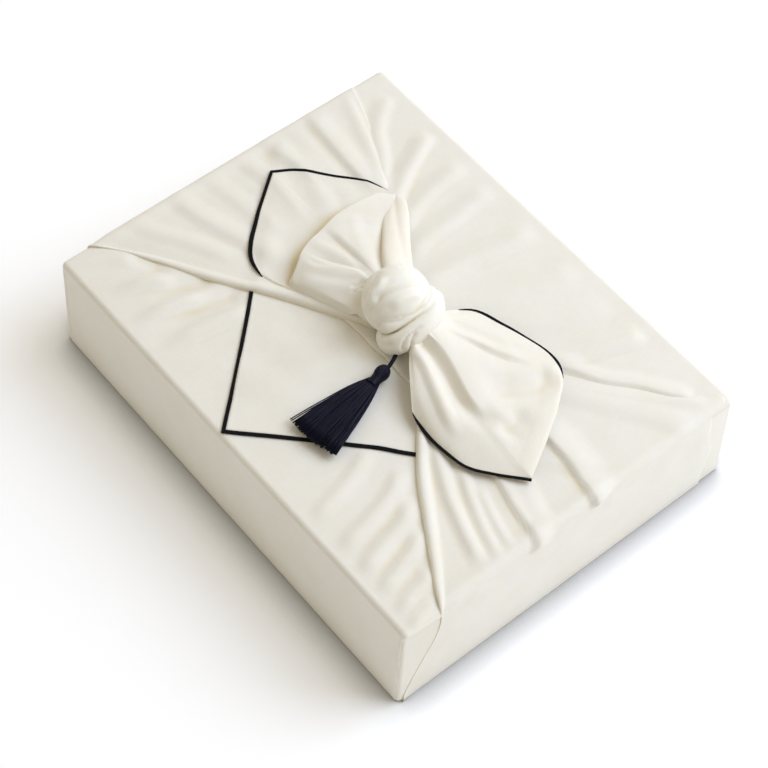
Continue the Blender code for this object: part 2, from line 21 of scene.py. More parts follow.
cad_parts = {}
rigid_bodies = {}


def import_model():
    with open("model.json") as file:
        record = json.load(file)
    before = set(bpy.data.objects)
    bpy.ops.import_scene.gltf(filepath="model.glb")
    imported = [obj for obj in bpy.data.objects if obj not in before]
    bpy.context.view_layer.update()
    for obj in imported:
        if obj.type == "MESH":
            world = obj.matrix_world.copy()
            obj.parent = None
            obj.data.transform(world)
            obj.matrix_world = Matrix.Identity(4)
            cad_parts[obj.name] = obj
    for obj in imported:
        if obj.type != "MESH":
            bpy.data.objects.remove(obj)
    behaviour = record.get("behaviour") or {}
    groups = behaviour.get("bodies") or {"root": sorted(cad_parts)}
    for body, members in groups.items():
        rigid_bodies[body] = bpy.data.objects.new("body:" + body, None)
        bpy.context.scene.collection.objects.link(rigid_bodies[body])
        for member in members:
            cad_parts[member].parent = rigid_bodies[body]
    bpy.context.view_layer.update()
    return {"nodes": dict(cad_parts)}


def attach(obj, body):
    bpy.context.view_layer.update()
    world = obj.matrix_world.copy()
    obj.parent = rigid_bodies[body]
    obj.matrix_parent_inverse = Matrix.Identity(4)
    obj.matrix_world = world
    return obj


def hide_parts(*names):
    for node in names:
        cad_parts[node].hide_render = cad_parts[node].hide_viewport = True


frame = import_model()
for thing in bpy.data.objects:
    thing.select_set(False)
bpy.context.scene.view_settings.view_transform = "Standard"
print("parts of the frame:", sorted(frame["nodes"]))

# %% [markdown]
# ## The camera
#
# The parcel is seen from above and from its near right corner, through a long lens, so its
# edges stay almost parallel. The camera is turned by three angles and then rolled a little.

# %% Camera
MM = 0.001
CAMERA_TURN = 48.58
CAMERA_TILT = 55.97
CAMERA_ROLL = 2.52
CAMERA_PLACE = (650, -578, 1309)
CAMERA_LENS = 107.2


def point_camera(turn, tilt, roll, place, lens):
    """A camera at place (mm). It looks down by tilt and is turned and rolled (degrees)."""
    turn, tilt, roll = (math.radians(angle) for angle in (turn, tilt, roll))
    level = math.cos(tilt)
    back = Vector((math.sin(turn) * level, -math.cos(turn) * level, math.sin(tilt)))
    right = Vector((math.cos(turn), math.sin(turn), 0))
    up = back.cross(right)
    right, up = (right * math.cos(roll) + up * math.sin(roll),
                 up * math.cos(roll) - right * math.sin(roll))
    turned = Matrix((right, up, back)).transposed().to_4x4()
    bpy.ops.object.camera_add()
    camera = bpy.context.object
    camera.data.lens = lens
    camera.data.sensor_width = 36
    camera.data.clip_end = 20
    camera.matrix_world = Matrix.Translation(Vector(place) * MM) @ turned
    bpy.context.scene.camera = camera
    return camera


camera = point_camera(CAMERA_TURN, CAMERA_TILT, CAMERA_ROLL, CAMERA_PLACE, CAMERA_LENS)
print("camera at", [round(v, 3) for v in camera.location])

# %% [markdown]
# ## Colours and nodes
#
# Colours are written as they look on a screen, as hex values, and one function turns them to
# the linear values that the renderer works with. Others add a shader node with its settings and
# links, so each material reads as a short list of nodes.


# %% Colour and node helpers
WAVE_LENGTH = 0.31416  # length of a wave texture's wave at a scale of 1


def linear(code):
    """A screen colour such as "#ffffff" as linear light."""
    parts = [int(code[i:i + 2], 16) / 255 for i in (1, 3, 5)]
    light = [p / 12.92 if p <= 0.04045 else ((p + 0.055) / 1.055) ** 2.4 for p in parts]
    return (*light, 1.0)


def add_node(tree, kind, inputs=None, **settings):
    """A new shader node. Each of its inputs takes a value or another node's output."""
    made = tree.nodes.new(kind)
    for name, value in settings.items():
        setattr(made, name, value)
    for socket, value in (inputs or {}).items():
        if isinstance(value, bpy.types.NodeSocket):
            tree.links.new(value, made.inputs[socket])
        else:
            made.inputs[socket].default_value = value
    return made


def sum_node(tree, operation, *values):
    """The output of a Math node."""
    return add_node(tree, "ShaderNodeMath", dict(enumerate(values)), operation=operation).outputs[0]


def mix(tree, share, first, second):
    """A colour part of the way from one to another. Each is a hex code or an output."""
    first, second = (linear(c) if isinstance(c, str) else c for c in (first, second))
    inputs = {0: share, 6: first, 7: second}
    return add_node(tree, "ShaderNodeMix", inputs, data_type="RGBA").outputs[2]


def ranged(tree, value, first, last, low=0.0, high=1.0):
    """What goes from low to high as a value goes from first to last."""
    return add_node(tree, "ShaderNodeMapRange", {
        "Value": value, "From Min": first, "From Max": last,
        "To Min": low, "To Max": high}).outputs[0]


def bumps(tree, height, strength, distance):
    """The normal of a surface with bumps distance mm high."""
    return add_node(tree, "ShaderNodeBump", {
        "Height": height, "Strength": strength, "Distance": distance * MM}).outputs[0]


def finish_surface(tree, inputs):
    """End a material's nodes with its shader."""
    shader = add_node(tree, "ShaderNodeBsdfPrincipled", inputs)
    add_node(tree, "ShaderNodeOutputMaterial", {"Surface": shader.outputs[0]})


def wave_scale(gap):
    """A wave texture's scale for threads or ribs gap mm apart."""
    return WAVE_LENGTH / (gap * MM) / 2


def new_material(name):
    made = bpy.data.materials.new(name)
    made.use_nodes = True
    made.node_tree.nodes.clear()
    return made, made.node_tree


print("cream as linear light:", [round(v, 3) for v in linear("#efece2")])

# %% [markdown]
# ## The studio
#
# The parcel lies on a white table under soft light. A pale world fills the shadows, brighter
# from behind. One broad lamp behind and to the right of the parcel makes the long side that
# faces the viewer the darkest one, and draws the folds on top. The paper has a painted glow of
# its own, and a painted shadow in the narrow gap beside the parcel's foot, where its colour and
# its glow darken.

# %% Table, world and lamps
TABLE_SIZE = 8.0
SKY_NEAR, SKY_FAR = 0.41, 0.78
# The paper's painted shadow reaches this far (m) from the parcel, and its painted glow is up to
# this strong.
PAINTED_SHADOW_REACH = 0.03
PAPER_GLOW = 0.17
WORLD_COLOUR = "#fdf2da"
LAMPS = (
    # name, place m, size m, watts, colour
    ("window", (0.64, 1.14, 1.66), 1.6, 35.0, "#e0ebff"),
)


def build_studio():
    """The table, the world's light and the lamps."""
    bpy.ops.mesh.primitive_plane_add(size=TABLE_SIZE, location=(0, 0, 0))
    table = bpy.context.object
    table.name = "table"
    table.data.name = "table"
    bpy.ops.object.mode_set(mode="EDIT")
    bpy.ops.mesh.subdivide(number_cuts=4)
    bpy.ops.object.mode_set(mode="OBJECT")
    paper, tree = new_material("white paper")
    grain = add_node(tree, "ShaderNodeTexNoise", {"Scale": 900.0, "Detail": 3.0})
    # Painted shadow: the paper darkens, in colour and in glow, where the parcel hides it.
    near = add_node(tree, "ShaderNodeAmbientOcclusion", {"Distance": PAINTED_SHADOW_REACH}, samples=8)
    shade = ranged(tree, near.outputs["AO"], 0.45, 0.95, 0.45, 1.0)
    finish_surface(tree, {
        "Base Color": mix(tree, shade, "#000000", "#fafcff"), "Roughness": 0.9,
        "Normal": bumps(tree, grain.outputs[0], 0.05, 0.5), "Emission Color": linear("#f0f2ff"),
        "Emission Strength": ranged(tree, shade, 0.5, 1.0, 0.0, PAPER_GLOW)})
    table.data.materials.append(paper)
    world = bpy.data.worlds.new("studio")
    world.use_nodes = True
    sky = world.node_tree.nodes["Background"]
    sky.inputs["Color"].default_value = linear(WORLD_COLOUR)
    direction = add_node(world.node_tree, "ShaderNodeTexCoord").outputs["Generated"]
    parts = add_node(world.node_tree, "ShaderNodeSeparateXYZ", {"Vector": direction})
    strength = ranged(world.node_tree, parts.outputs["Y"], -1.0, 1.0, SKY_NEAR, SKY_FAR)
    world.node_tree.links.new(strength, sky.inputs["Strength"])
    bpy.context.scene.world = world
    for name, place, size, watts, colour in LAMPS:
        bpy.ops.object.light_add(type="AREA", location=place)
        lamp = bpy.context.object
        lamp.name = name
        lamp.data.size = size
        lamp.data.energy = watts
        lamp.data.color = linear(colour)[:3]
        towards = Vector((0, 0, 0.05)) - Vector(place)
        lamp.rotation_euler = towards.to_track_quat("-Z", "Y").to_euler()
    return table


table = build_studio()
print("studio lamps:", len(LAMPS))

# %% [markdown]
# ## The cotton
#
# The cloth is plain-weave cotton, bleached to a warm white. Its threads are about a third of
# a millimetre apart, too fine to show from here, so they are drawn at 0.7 mm, and the thicker
# places that run along single threads are drawn as streaks both ways. Cotton has no gloss, only
# a faint bloom of fibres at a glancing angle, which the sheen gives. Deep in a fold its colour
# turns warmer and darker: painted shade, for the light that goes from thread to thread there.
# The knot's cotton is a copy painted lighter, against the shade that the knot casts on itself,
# with a darker painted shade in its creases.

# %% Cotton
THREAD = 0.7
SLUB_LONG, SLUB_WIDE = 9.0, 0.8
CLOUD = 38.0  # size of the faint clouds in its colour
# Painted shade: between these depths in a hollow, the colour goes over to a warmer, darker one.
PAINTED_SHADE_FROM, PAINTED_SHADE_FULL = 0.25, 1.7  # depths between which a hollow turns warm


def weave_cotton(name, shade, light, hollow, bump_depth):
    """Plain-weave cotton that goes from one colour to another, and to a painted shade in hollows.
    """
    cotton, tree = new_material(name)
    uv = add_node(tree, "ShaderNodeUVMap", uv_map="cloth").outputs[0]
    threads = []
    for direction in ("X", "Y"):
        wave = add_node(tree, "ShaderNodeTexWave", {
            "Vector": uv, "Scale": wave_scale(THREAD), "Distortion": 1.2, "Detail": 2.0,
            "Detail Scale": 3.0}, wave_type="BANDS", bands_direction=direction, wave_profile="SIN")
        threads.append(wave.outputs["Fac"])
    slubs = []
    for stretch in ((SLUB_WIDE, SLUB_LONG), (SLUB_LONG, SLUB_WIDE)):
        turned = add_node(tree, "ShaderNodeMapping", {
            "Vector": uv, "Scale": (1 / stretch[0] / MM, 1 / stretch[1] / MM, 1.0)})
        slub = add_node(tree, "ShaderNodeTexNoise", {
            "Vector": turned.outputs[0], "Scale": 1.0, "Detail": 2.0, "Roughness": 0.5})
        slubs.append(slub.outputs["Fac"])
    weave = sum_node(tree, "MULTIPLY", *threads)
    both = sum_node(tree, "ADD", *slubs)
    relief = sum_node(tree, "MULTIPLY_ADD", weave, 0.35, both)
    cloud = add_node(tree, "ShaderNodeTexNoise", {
        "Vector": uv, "Scale": 1 / CLOUD / MM, "Detail": 3.0, "Roughness": 0.55}).outputs["Fac"]
    patchy = sum_node(tree, "MULTIPLY_ADD", both, 0.5, cloud)
    colour = mix(tree, ranged(tree, patchy, 0.7, 1.3), shade, light)
    # Painted shade, read from each point's depth in a hollow.
    depth = add_node(tree, "ShaderNodeAttribute", attribute_name="hollow").outputs["Fac"]
    crease_shade_share = ranged(tree, depth, PAINTED_SHADE_FROM, PAINTED_SHADE_FULL)
    finish_surface(tree, {
        "Base Color": mix(tree, crease_shade_share, colour, hollow), "Roughness": 0.78,
        "Normal": bumps(tree, relief, 0.5, bump_depth), "Specular IOR Level": 0.3,
        "Sheen Weight": 0.12, "Sheen Roughness": 0.5, "Subsurface Weight": 0.2,
        "Subsurface Scale": 4 * MM, "Subsurface Radius": (1.0, 0.72, 0.45)})
    return cotton


# Each third colour is the painted shade in hollows.
cotton = weave_cotton("plain-weave cotton", "#eee9dd", "#f4f0e8", "#e3d5b4", 0.10)
# The knot's cotton: the same cloth painted lighter against the shade it casts on itself, with a
# darker painted crease shade.
knot_cotton_painted_lighter = weave_cotton("plain-weave cotton painted lighter for the knot", "#f6f2e6", "#fbf8f0", "#d8c8a2",
                            0.08)
print("cotton nodes:", len(cotton.node_tree.nodes))

# %% [markdown]
# ## Navy binding and thread
#
# The cloth's hem is bound with a narrow navy tape stitched down its middle, so it has two
# rounded ridges. The tassel is twisted rayon thread, darker and a little shinier. Both are
# almost black, so their look comes from the thin highlights along them.


# %% Binding tape and tassel thread
def navy_textile(name, dark, light, roughness, cord_mm, sheen, gloss):
    """Dark cloth or thread, with ribs cord_mm apart."""
    made, tree = new_material(name)
    uv = add_node(tree, "ShaderNodeUVMap", uv_map="cloth").outputs[0]
    twist = add_node(tree, "ShaderNodeTexWave", {
        "Vector": uv, "Scale": wave_scale(cord_mm), "Distortion": 0.6, "Detail": 1.0},
        wave_type="BANDS", bands_direction="DIAGONAL", wave_profile="SIN")
    fibre = add_node(tree, "ShaderNodeTexNoise", {"Vector": uv, "Scale": 700.0, "Detail": 2.0})
    finish_surface(tree, {
        "Base Color": mix(tree, fibre.outputs["Fac"], dark, light), "Roughness": roughness,
        "Normal": bumps(tree, twist.outputs["Fac"], 0.5, 0.12), "Specular IOR Level": gloss,
        "Sheen Weight": sheen, "Sheen Roughness": 0.4})
    return made


tape = navy_textile("navy cotton tape", "#05060b", "#0b0c14", 0.7, 0.9, 0.0, 0.15)
thread = navy_textile("navy rayon thread", "#05061a", "#0a0c26", 0.45, 0.7, 0.0, 0.2)
print("navy materials:", tape.name, "and", thread.name)

# %% [markdown]
# ## The box
#
# The box itself is plain grey card. The cloth hides all of it, but it keeps its own material:
# card has a fine fibrous grain and no gloss.

# %% Box card
card, tree = new_material("grey card")
place = add_node(tree, "ShaderNodeTexCoord").outputs["Object"]
pulp = add_node(tree, "ShaderNodeTexNoise", {
    "Vector": place, "Scale": 320.0, "Detail": 5.0}).outputs["Fac"]
finish_surface(tree, {
    "Base Color": mix(tree, pulp, "#b9b0a0", "#cbc3b4"), "Roughness": 0.9,
    "Normal": bumps(tree, pulp, 0.2, 0.2)})
box = frame["nodes"]["box"]
box.data.materials.clear()
box.data.materials.append(card)
print("box is", [round(1000 * v) for v in box.dimensions], "mm")

# %% [markdown]
# ## Tools for folded cloth
#
# A fold of cloth is easiest to place on the flat cloth. So each layer starts as a grid on the
# cloth, in millimetres from the middle of the parcel. A table lists its folds, a row for each:
# the line of the crest, how high it stands, how wide it is on either side, and how far it takes
# to rise and to die away. The grid is then laid over the box, and its folds are pushed out.

# %% Smooth tables and lines
LENGTH, WIDTH = 360, 277
EDGE = 4.0  # radius of the parcel's top edges
FOOT = 1.2  # radius where the cloth turns in at the table
SPREAD_X, SPREAD_Y = 1.0, 2.5  # how far the cloth stands out at the table
CLOTH = 0.8  # thickness
CREASE_SHADE_REACH = 4.4  # how far round a point the cloth counts as being about it
FACE_FROM = 146  # from here on, across, the cloth has turned down a long face
SHARP_UNDER = 5.5  # a hollow narrower than this has a sharp bottom


def smooth(table, at):
    """A table's other columns at values of its first one, on a smooth curve through its rows."""
    table = np.array(table, float)
    at = np.clip(np.asarray(at, float), table[0, 0], table[-1, 0])
    first, rest = table[:, 0], table[:, 1:]
    slope = np.gradient(rest, first, axis=0)
    row = np.clip(np.searchsorted(first, at, side="right") - 1, 0, len(first) - 2)
    step = (first[row + 1] - first[row])[..., None]
    s = (at - first[row])[..., None] / step
    return (
        (1 + 2 * s) * (1 - s) ** 2 * rest[row]
        + s * (1 - s) ** 2 * step * slope[row]
        + s * s * (3 - 2 * s) * rest[row + 1]
        + s * s * (s - 1) * step * slope[row + 1]
    )


def line_through(points, count):
    """Evenly read points on a smooth line through the given ones."""
    points = np.array(points, float)
    along = np.concatenate([[0], np.cumsum(np.linalg.norm(np.diff(points, axis=0), axis=1))])
    return smooth(np.column_stack([along, points]), np.linspace(0, along[-1], count))


def ease(share):
    """0 up to 0, 1 from 1 on, and a smooth step between."""
    share = np.clip(share, 0, 1)
    return share * share * (3 - 2 * share)


print("halfway down a table:", smooth(((0, 0), (1, 5), (2, 6)), 0.5))


# %% Folds from a table
def on_flat(x, y):
    """Places on the flat cloth as points, so that folds can be read there."""
    return np.stack([x, y, np.zeros(np.shape(x))], axis=-1)


def folds(points, table, facing=(0, 0, 1)):
    """The height that a table of folds adds at points of the cloth (all mm).

    Columns: crest line, height, width on its left, width on its right, rise, dying away. Left
    and right are as seen by someone who walks along the crest. A crest is round, and so is a
    wide hollow, with a height below nothing. A narrow hollow comes to a sharp bottom.
    """
    total = np.zeros(points.shape[:-1])
    for crest, height, left, right, rise, fade in table:
        line = line_through([tuple(place) + (0,) * (3 - len(place)) for place in crest], 14)
        nearest, side, run = np.full(total.shape, 1e9), np.ones(total.shape), np.zeros(total.shape)
        before = 0.0
        for start, end in zip(line[:-1], line[1:]):
            step = end - start
            length = np.linalg.norm(step)
            t = np.clip((points - start) @ step / length ** 2, 0, 1)
            off = points - start - t[..., None] * step
            far = np.linalg.norm(off, axis=-1)
            closer = far < nearest
            nearest = np.where(closer, far, nearest)
            side = np.where(closer, (np.cross(step, off) * facing).sum(axis=-1), side)
            run = np.where(closer, before + t * length, run)
            before += length
        share = np.clip(nearest / np.where(side > 0, left, right), 0, 1)
        sharp = height < 0 and min(left, right) < SHARP_UNDER
        shape = (1 - share) ** 2 if sharp else 0.5 + 0.5 * np.cos(np.pi * share)
        ends = ease(run / rise) if rise else 1.0
        ends = ends * (ease((before - run) / fade) if fade else 1.0)
        total += height * shape * ends
    return total


print("on the crest and beside it:", folds(on_flat(np.array([5.0, 5.0]), np.array([0.0, 3.0])),
                                           ((((0, 0), (5, 0), (10, 0)), 2.0, 6, 6, 0, 0),)))


# %% Lay cloth over the box
def over_box(s, t, half_x, half_y, top, edge=EDGE):
    """Where cloth lies that runs s along the box and t across it from the middle of its top.

    Beyond the top's edges it turns down, and at the foot it turns in.
    """
    core_x = np.clip(s, edge - half_x, half_x - edge)
    core_y = np.clip(t, edge - half_y, half_y - edge)
    over_x, over_y = s - core_x, t - core_y
    over = np.hypot(over_x, over_y)
    face = top - edge - FOOT
    turn = np.clip(over / edge, 0, math.pi / 2)
    past = over - edge * math.pi / 2
    tuck = np.clip((past - face) / FOOT, 0, math.pi / 2)
    under = np.clip(past - face - FOOT * math.pi / 2, 0, None)
    out = edge * np.sin(turn) - FOOT * (1 - np.cos(tuck)) - under
    height = top - edge + edge * np.cos(turn) - np.clip(past, 0, face) - FOOT * np.sin(tuck)
    size = np.where(over > 0, over, 1)
    lower = np.clip(past / face, 0, 1)
    x = core_x + over_x / size * (out + SPREAD_X * lower)
    y = core_y + over_y / size * (out + SPREAD_Y * lower)
    return np.stack([x, y, height], axis=-1)


def normals(grid):
    """The unit normal at each point of a grid."""
    across, along = np.gradient(grid, axis=0), np.gradient(grid, axis=1)
    normal = np.cross(across, along)
    size = np.linalg.norm(normal, axis=2, keepdims=True)
    return normal / np.where(size > 0, size, 1)


def raised(grid, height, core=(0, 0, 30), plain=None):
    """The grid pushed out along its normals, away from the middle of the box.

    plain is the same surface without doubled rows, where the grid itself turns back.
    """
    normal = normals(grid if plain is None else plain)
    outwards = np.sign((normal * (grid - np.array(core))).sum(axis=2).mean())
    return grid + normal * outwards * height[..., None]


def flat_length(line):
    """How far along a line each of its points is."""
    return np.concatenate([[0], np.cumsum(np.linalg.norm(np.diff(line, axis=0), axis=1))])


def blur(height, times):
    """Soften a grid of values, a little each time."""
    for _ in range(times):
        wide = np.pad(height, 1, mode="edge")
        beside = wide[:-2, 1:-1] + wide[2:, 1:-1] + wide[1:-1, :-2] + wide[1:-1, 2:]
        height = (beside + 4 * height) / 8
    return height


def hollows(grid, outwards):
    """How far each point of a grid lies under the cloth a few millimetres round it (mm), for
    painted shade.
    """
    gap = np.median(np.linalg.norm(np.diff(grid, axis=0), axis=2))
    gap = (gap + np.median(np.linalg.norm(np.diff(grid, axis=1), axis=2))) / 2
    times = int(np.clip(4 * (CREASE_SHADE_REACH / gap) ** 2, 4, 90))
    soft = np.stack([blur(grid[..., k], times) for k in range(3)], axis=-1)
    return ((soft - grid) * normals(grid)).sum(axis=2) * outwards


print("over the long edge:", over_box(np.array(0.0), np.array(150.0), 180, 138.5, 85).round(1))


# %% Make a sheet from a grid
def build_piece(name, points, faces, places, material):
    """A smooth object from points (mm) and faces. places has each corner's place on the cloth."""
    mesh = bpy.data.meshes.new(name)
    mesh.from_pydata((np.reshape(points, (-1, 3)) * MM).tolist(), [], faces)
    layer = mesh.uv_layers.new(name="cloth")
    layer.data.foreach_set("uv", (np.array(places) * MM).ravel())
    made = bpy.data.objects.new(name, mesh)
    bpy.context.scene.collection.objects.link(made)
    mesh.materials.append(material)
    mesh.polygons.foreach_set("use_smooth", np.ones(len(mesh.polygons), bool))
    return made


def rework(made, change):
    """Change an object's mesh with bmesh."""
    work = bmesh.new()
    work.from_mesh(made.data)
    change(work)
    work.to_mesh(made.data)
    work.free()


def face_outwards(work):
    bmesh.ops.recalc_face_normals(work, faces=work.faces)


def drop_doubles(work):
    bmesh.ops.delete(work, geom=[v for v in work.verts if not v.link_faces], context="VERTS")
    bmesh.ops.remove_doubles(work, verts=work.verts, dist=0.00001)


def thicken(made):
    """Give a sheet its thickness, inwards."""
    wall = made.modifiers.new("thickness", "SOLIDIFY")
    wall.thickness = CLOTH * MM
    wall.offset = -1
    bpy.context.view_layer.objects.active = made
    bpy.ops.object.modifier_apply(modifier=wall.name)


def cloth_sheet(name, grid, on_cloth, material, core=(0, 0, 30), keep=None, shade=0.0):
    """A sheet with a thickness, from the grid of points on its outer face.

    on_cloth gives each point's place on the flat cloth, for the weave. keep leaves faces out.
    shade adds to each point's depth in a hollow, and so to its painted shade, as along a turned
    edge.
    """
    wide, long = grid.shape[:2]
    normal = normals(grid)
    outwards = (normal * (grid - np.array(core))).sum(axis=2).mean()
    i, j = np.meshgrid(np.arange(wide - 1), np.arange(long - 1), indexing="ij")
    i, j = i.ravel(), j.ravel()
    first, after = i * long + j, (i + 1) * long + j
    faces = np.stack([first, after, after + 1, first + 1], axis=1)
    if outwards < 0:
        faces = faces[:, ::-1]
    if keep is not None:
        faces = faces[keep[:-1, :-1].ravel()]
    places = np.reshape(on_cloth, (-1, 2))[faces.ravel()]
    made = build_piece(name, grid, faces.tolist(), places, material)
    # Each point's depth in a hollow is kept for the cotton's painted shade.
    deep = made.data.attributes.new("hollow", "FLOAT", "POINT")
    deep.data.foreach_set("value", (hollows(grid, np.sign(outwards)) + shade).ravel())
    rework(made, drop_doubles)
    thicken(made)
    for point in made.data.vertices:
        point.co.z = max(point.co.z, 0)
    return made


def area_of(thing):
    """The area of all its faces (m2)."""
    return sum(face.area for face in thing.data.polygons)


def claim(thing, node):
    """Say what carries a finished piece, and hide the node that it replaces."""
    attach(thing, "root")
    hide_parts(node)


def declare(thing, flat):
    """Say that a finished piece is part of the cloth, and print its size and how its sheet is cut.
    """
    claim(thing, "cloth")
    print(thing.name, "triangles", 2 * len(thing.data.polygons), "faces",
          round(area_of(thing), 4), "m2", "cut", flat)


def spaced(*runs):
    """Grid lines from runs of (first, last, spacing), without doubled ends."""
    found = []
    for first, last, gap in runs:
        found += list(np.linspace(first, last, max(2, int(round(abs(last - first) / gap)) + 1)))
    return np.array(sorted(set(np.round(found, 3))))


print("grid lines:", spaced((0, 4, 2), (4, 5, 0.5)))

# %% [markdown]
# ## The layer next to the box
#
# It shows only as narrow strips at the corners. It is modelled by hand: a cube at the box's
# size, drawn a little wider at the table, its upright edges bevelled round, its top taken off,
# and a thickness given with Solidify.

# %% Under layer
UNDER_SET = 0.25  # how far it lies inside the folds over it
UNDER_TOP = 82.4
CORNER = 2.6  # radius of its upright edges


def under_layer():
    """The layer next to the box."""
    bpy.ops.mesh.primitive_cube_add(size=1, location=(0, 0, UNDER_TOP * MM / 2))
    layer = bpy.context.object
    layer.name = "under_layer"
    layer.data.name = "under_layer"
    layer.scale = ((LENGTH - 2 * UNDER_SET) * MM, (WIDTH - 2 * UNDER_SET) * MM, UNDER_TOP * MM)
    bpy.ops.object.transform_apply(location=True, rotation=True, scale=True)
    bpy.ops.object.mode_set(mode="EDIT")
    bpy.ops.mesh.select_all(action="DESELECT")
    bpy.ops.object.mode_set(mode="OBJECT")
    for face in layer.data.polygons:
        face.select = face.normal.z < -0.5
    bpy.ops.object.mode_set(mode="EDIT")
    bpy.ops.transform.resize(value=(1 + 2 * SPREAD_X / LENGTH, 1 + 2 * SPREAD_Y / WIDTH, 1),
                             center_override=(0, 0, 0))
    bpy.ops.mesh.select_all(action="DESELECT")
    bpy.ops.object.mode_set(mode="OBJECT")
    corner = layer.data.vertices
    for rim in layer.data.edges:
        rim.select = abs(corner[rim.vertices[0]].co.z - corner[rim.vertices[1]].co.z) > EDGE * MM
    bpy.ops.object.mode_set(mode="EDIT")
    bpy.ops.mesh.select_mode(type="EDGE")
    bpy.ops.mesh.bevel(offset=CORNER * MM, segments=4, affect="EDGES")
    bpy.ops.mesh.select_mode(type="FACE")
    bpy.ops.mesh.select_all(action="DESELECT")
    bpy.ops.object.mode_set(mode="OBJECT")
    for face in layer.data.polygons:
        face.select = face.normal.z > 0.5
    bpy.ops.object.mode_set(mode="EDIT")
    bpy.ops.mesh.delete(type="FACE")
    bpy.ops.mesh.select_all(action="SELECT")
    bpy.ops.uv.cube_project(cube_size=1.0)
    bpy.ops.object.mode_set(mode="OBJECT")
    layer.data.uv_layers.active.name = "cloth"
    bpy.ops.object.shade_smooth_by_angle(angle=math.radians(40))
    thicken(layer)
    layer.data.materials.append(cotton)
    return layer


under = under_layer()
declare(under, (0.53, 0.45))

# %% [markdown]
# ## The near fold
#
# The near side of the cloth comes up the long face and over the top. At the ends it rolls over
# the short edges as well. It is drawn up towards the knot, so soft folds fan out from under the
# end folds towards its long edge.

# %% Near fold's tables
NEAR_TOP = 85.0
NEAR_STOP = 46.0  # where it ends, hidden under the far fold
SEAM_AT = 176.0
NEAR_ROWS = (
    # grid lines across it: from, to, spacing, closest where it bends
    (-223.5, -217, 1.0), (-217, -143, 4.0), (-143, -133, 0.7), (-133, NEAR_STOP, 2.2),
)
NEAR_OVERHANG = (
    # y, how far the cloth reaches over the short edge
    (-146, 4.4), (-138, 5.4), (-130, 6.4), (-120, 7.9), (-110, 9.2), (-90, 8.6), (150, 8.6),
)
LEFT_OVERHANG = 8.6  # the least reach at the left end
LIP_HIGH, LIP_IN, LIP_WIDE = 0.8, 1.0, 2.6  # a soft bead along its end, where it turns over
LIP_FROM = 96  # how far from the middle, across, it begins
SEAM_BEAD = 0.6  # height of the bead down the corner
SEAM_TO = 220  # where that bead ends, near the table
SEAM_OUT = 2.2  # how far it stands out at that corner
NEAR_FOLDS = (
    # crest line, height, left width, right width, rise, dying away
    (((60, -66), (70, -86), (76, -106), (82, -132)), 1.6, 10, 8, 18, 14),
    (((84, -60), (97, -80), (103, -100), (108, -132)), 2.2, 11, 8, 18, 14),
    (((104, -70), (118, -88), (122, -104), (130, -133)), 2.6, 11, 8, 18, 14),
    (((124, -80), (136, -94), (141, -108), (147, -133)), 2.4, 10, 7, 16, 14),
    (((148, -94), (158, -104), (160, -114), (165, -133)), 2.1, 9, 7, 14, 14),
    (((168, -104), (172, -112), (174, -120), (177, -133)), 1.4, 6, 6, 10, 10),
    (((-132, -85), (-146, -94), (-162, -107)), -1.2, 8, 9, 8, 26),
    (((-127, -82), (-137, -98), (-146, -114)), -0.9, 8, 9, 8, 26),
    (((-103, -64), (-113, -89), (-121, -114)), -1.8, 9, 9, 10, 34),
    (((-84, -56), (-92, -92), (-97, -124)), -1.8, 10, 9, 12, 36),
    (((-148, -96), (-156, -104), (-165, -114)), 1.3, 9, 8, 10, 16),
    (((-118, -84), (-129, -100), (-139, -130)), 2.5, 9, 10, 16, 28),
    (((-96, -74), (-103, -96), (-111, -132)), 2.8, 9, 9, 18, 28),
    (((-70, -58), (-76, -84), (-82, -128)), 2.3, 11, 9, 18, 26),
    (((-10, -150), (0, -170), (14, -200)), 0.6, 26, 20, 20, 30),
    (((70, -150), (78, -175), (90, -210)), 0.5, 24, 24, 20, 30),
    (((-110, -150), (-100, -176), (-86, -212)), 0.6, 30, 24, 20, 30),
)

print("the near fold has", len(NEAR_FOLDS), "folds and valleys")


# %% Near fold
def above_corner(s_grid, on_side):
    """Which faces to keep: on the long face the cloth ends at the corner's pleat."""
    low = (np.abs(s_grid) > SEAM_AT + 0.01) & on_side
    return ~low & ~np.roll(low, -1, 0) & ~np.roll(low, -1, 1)


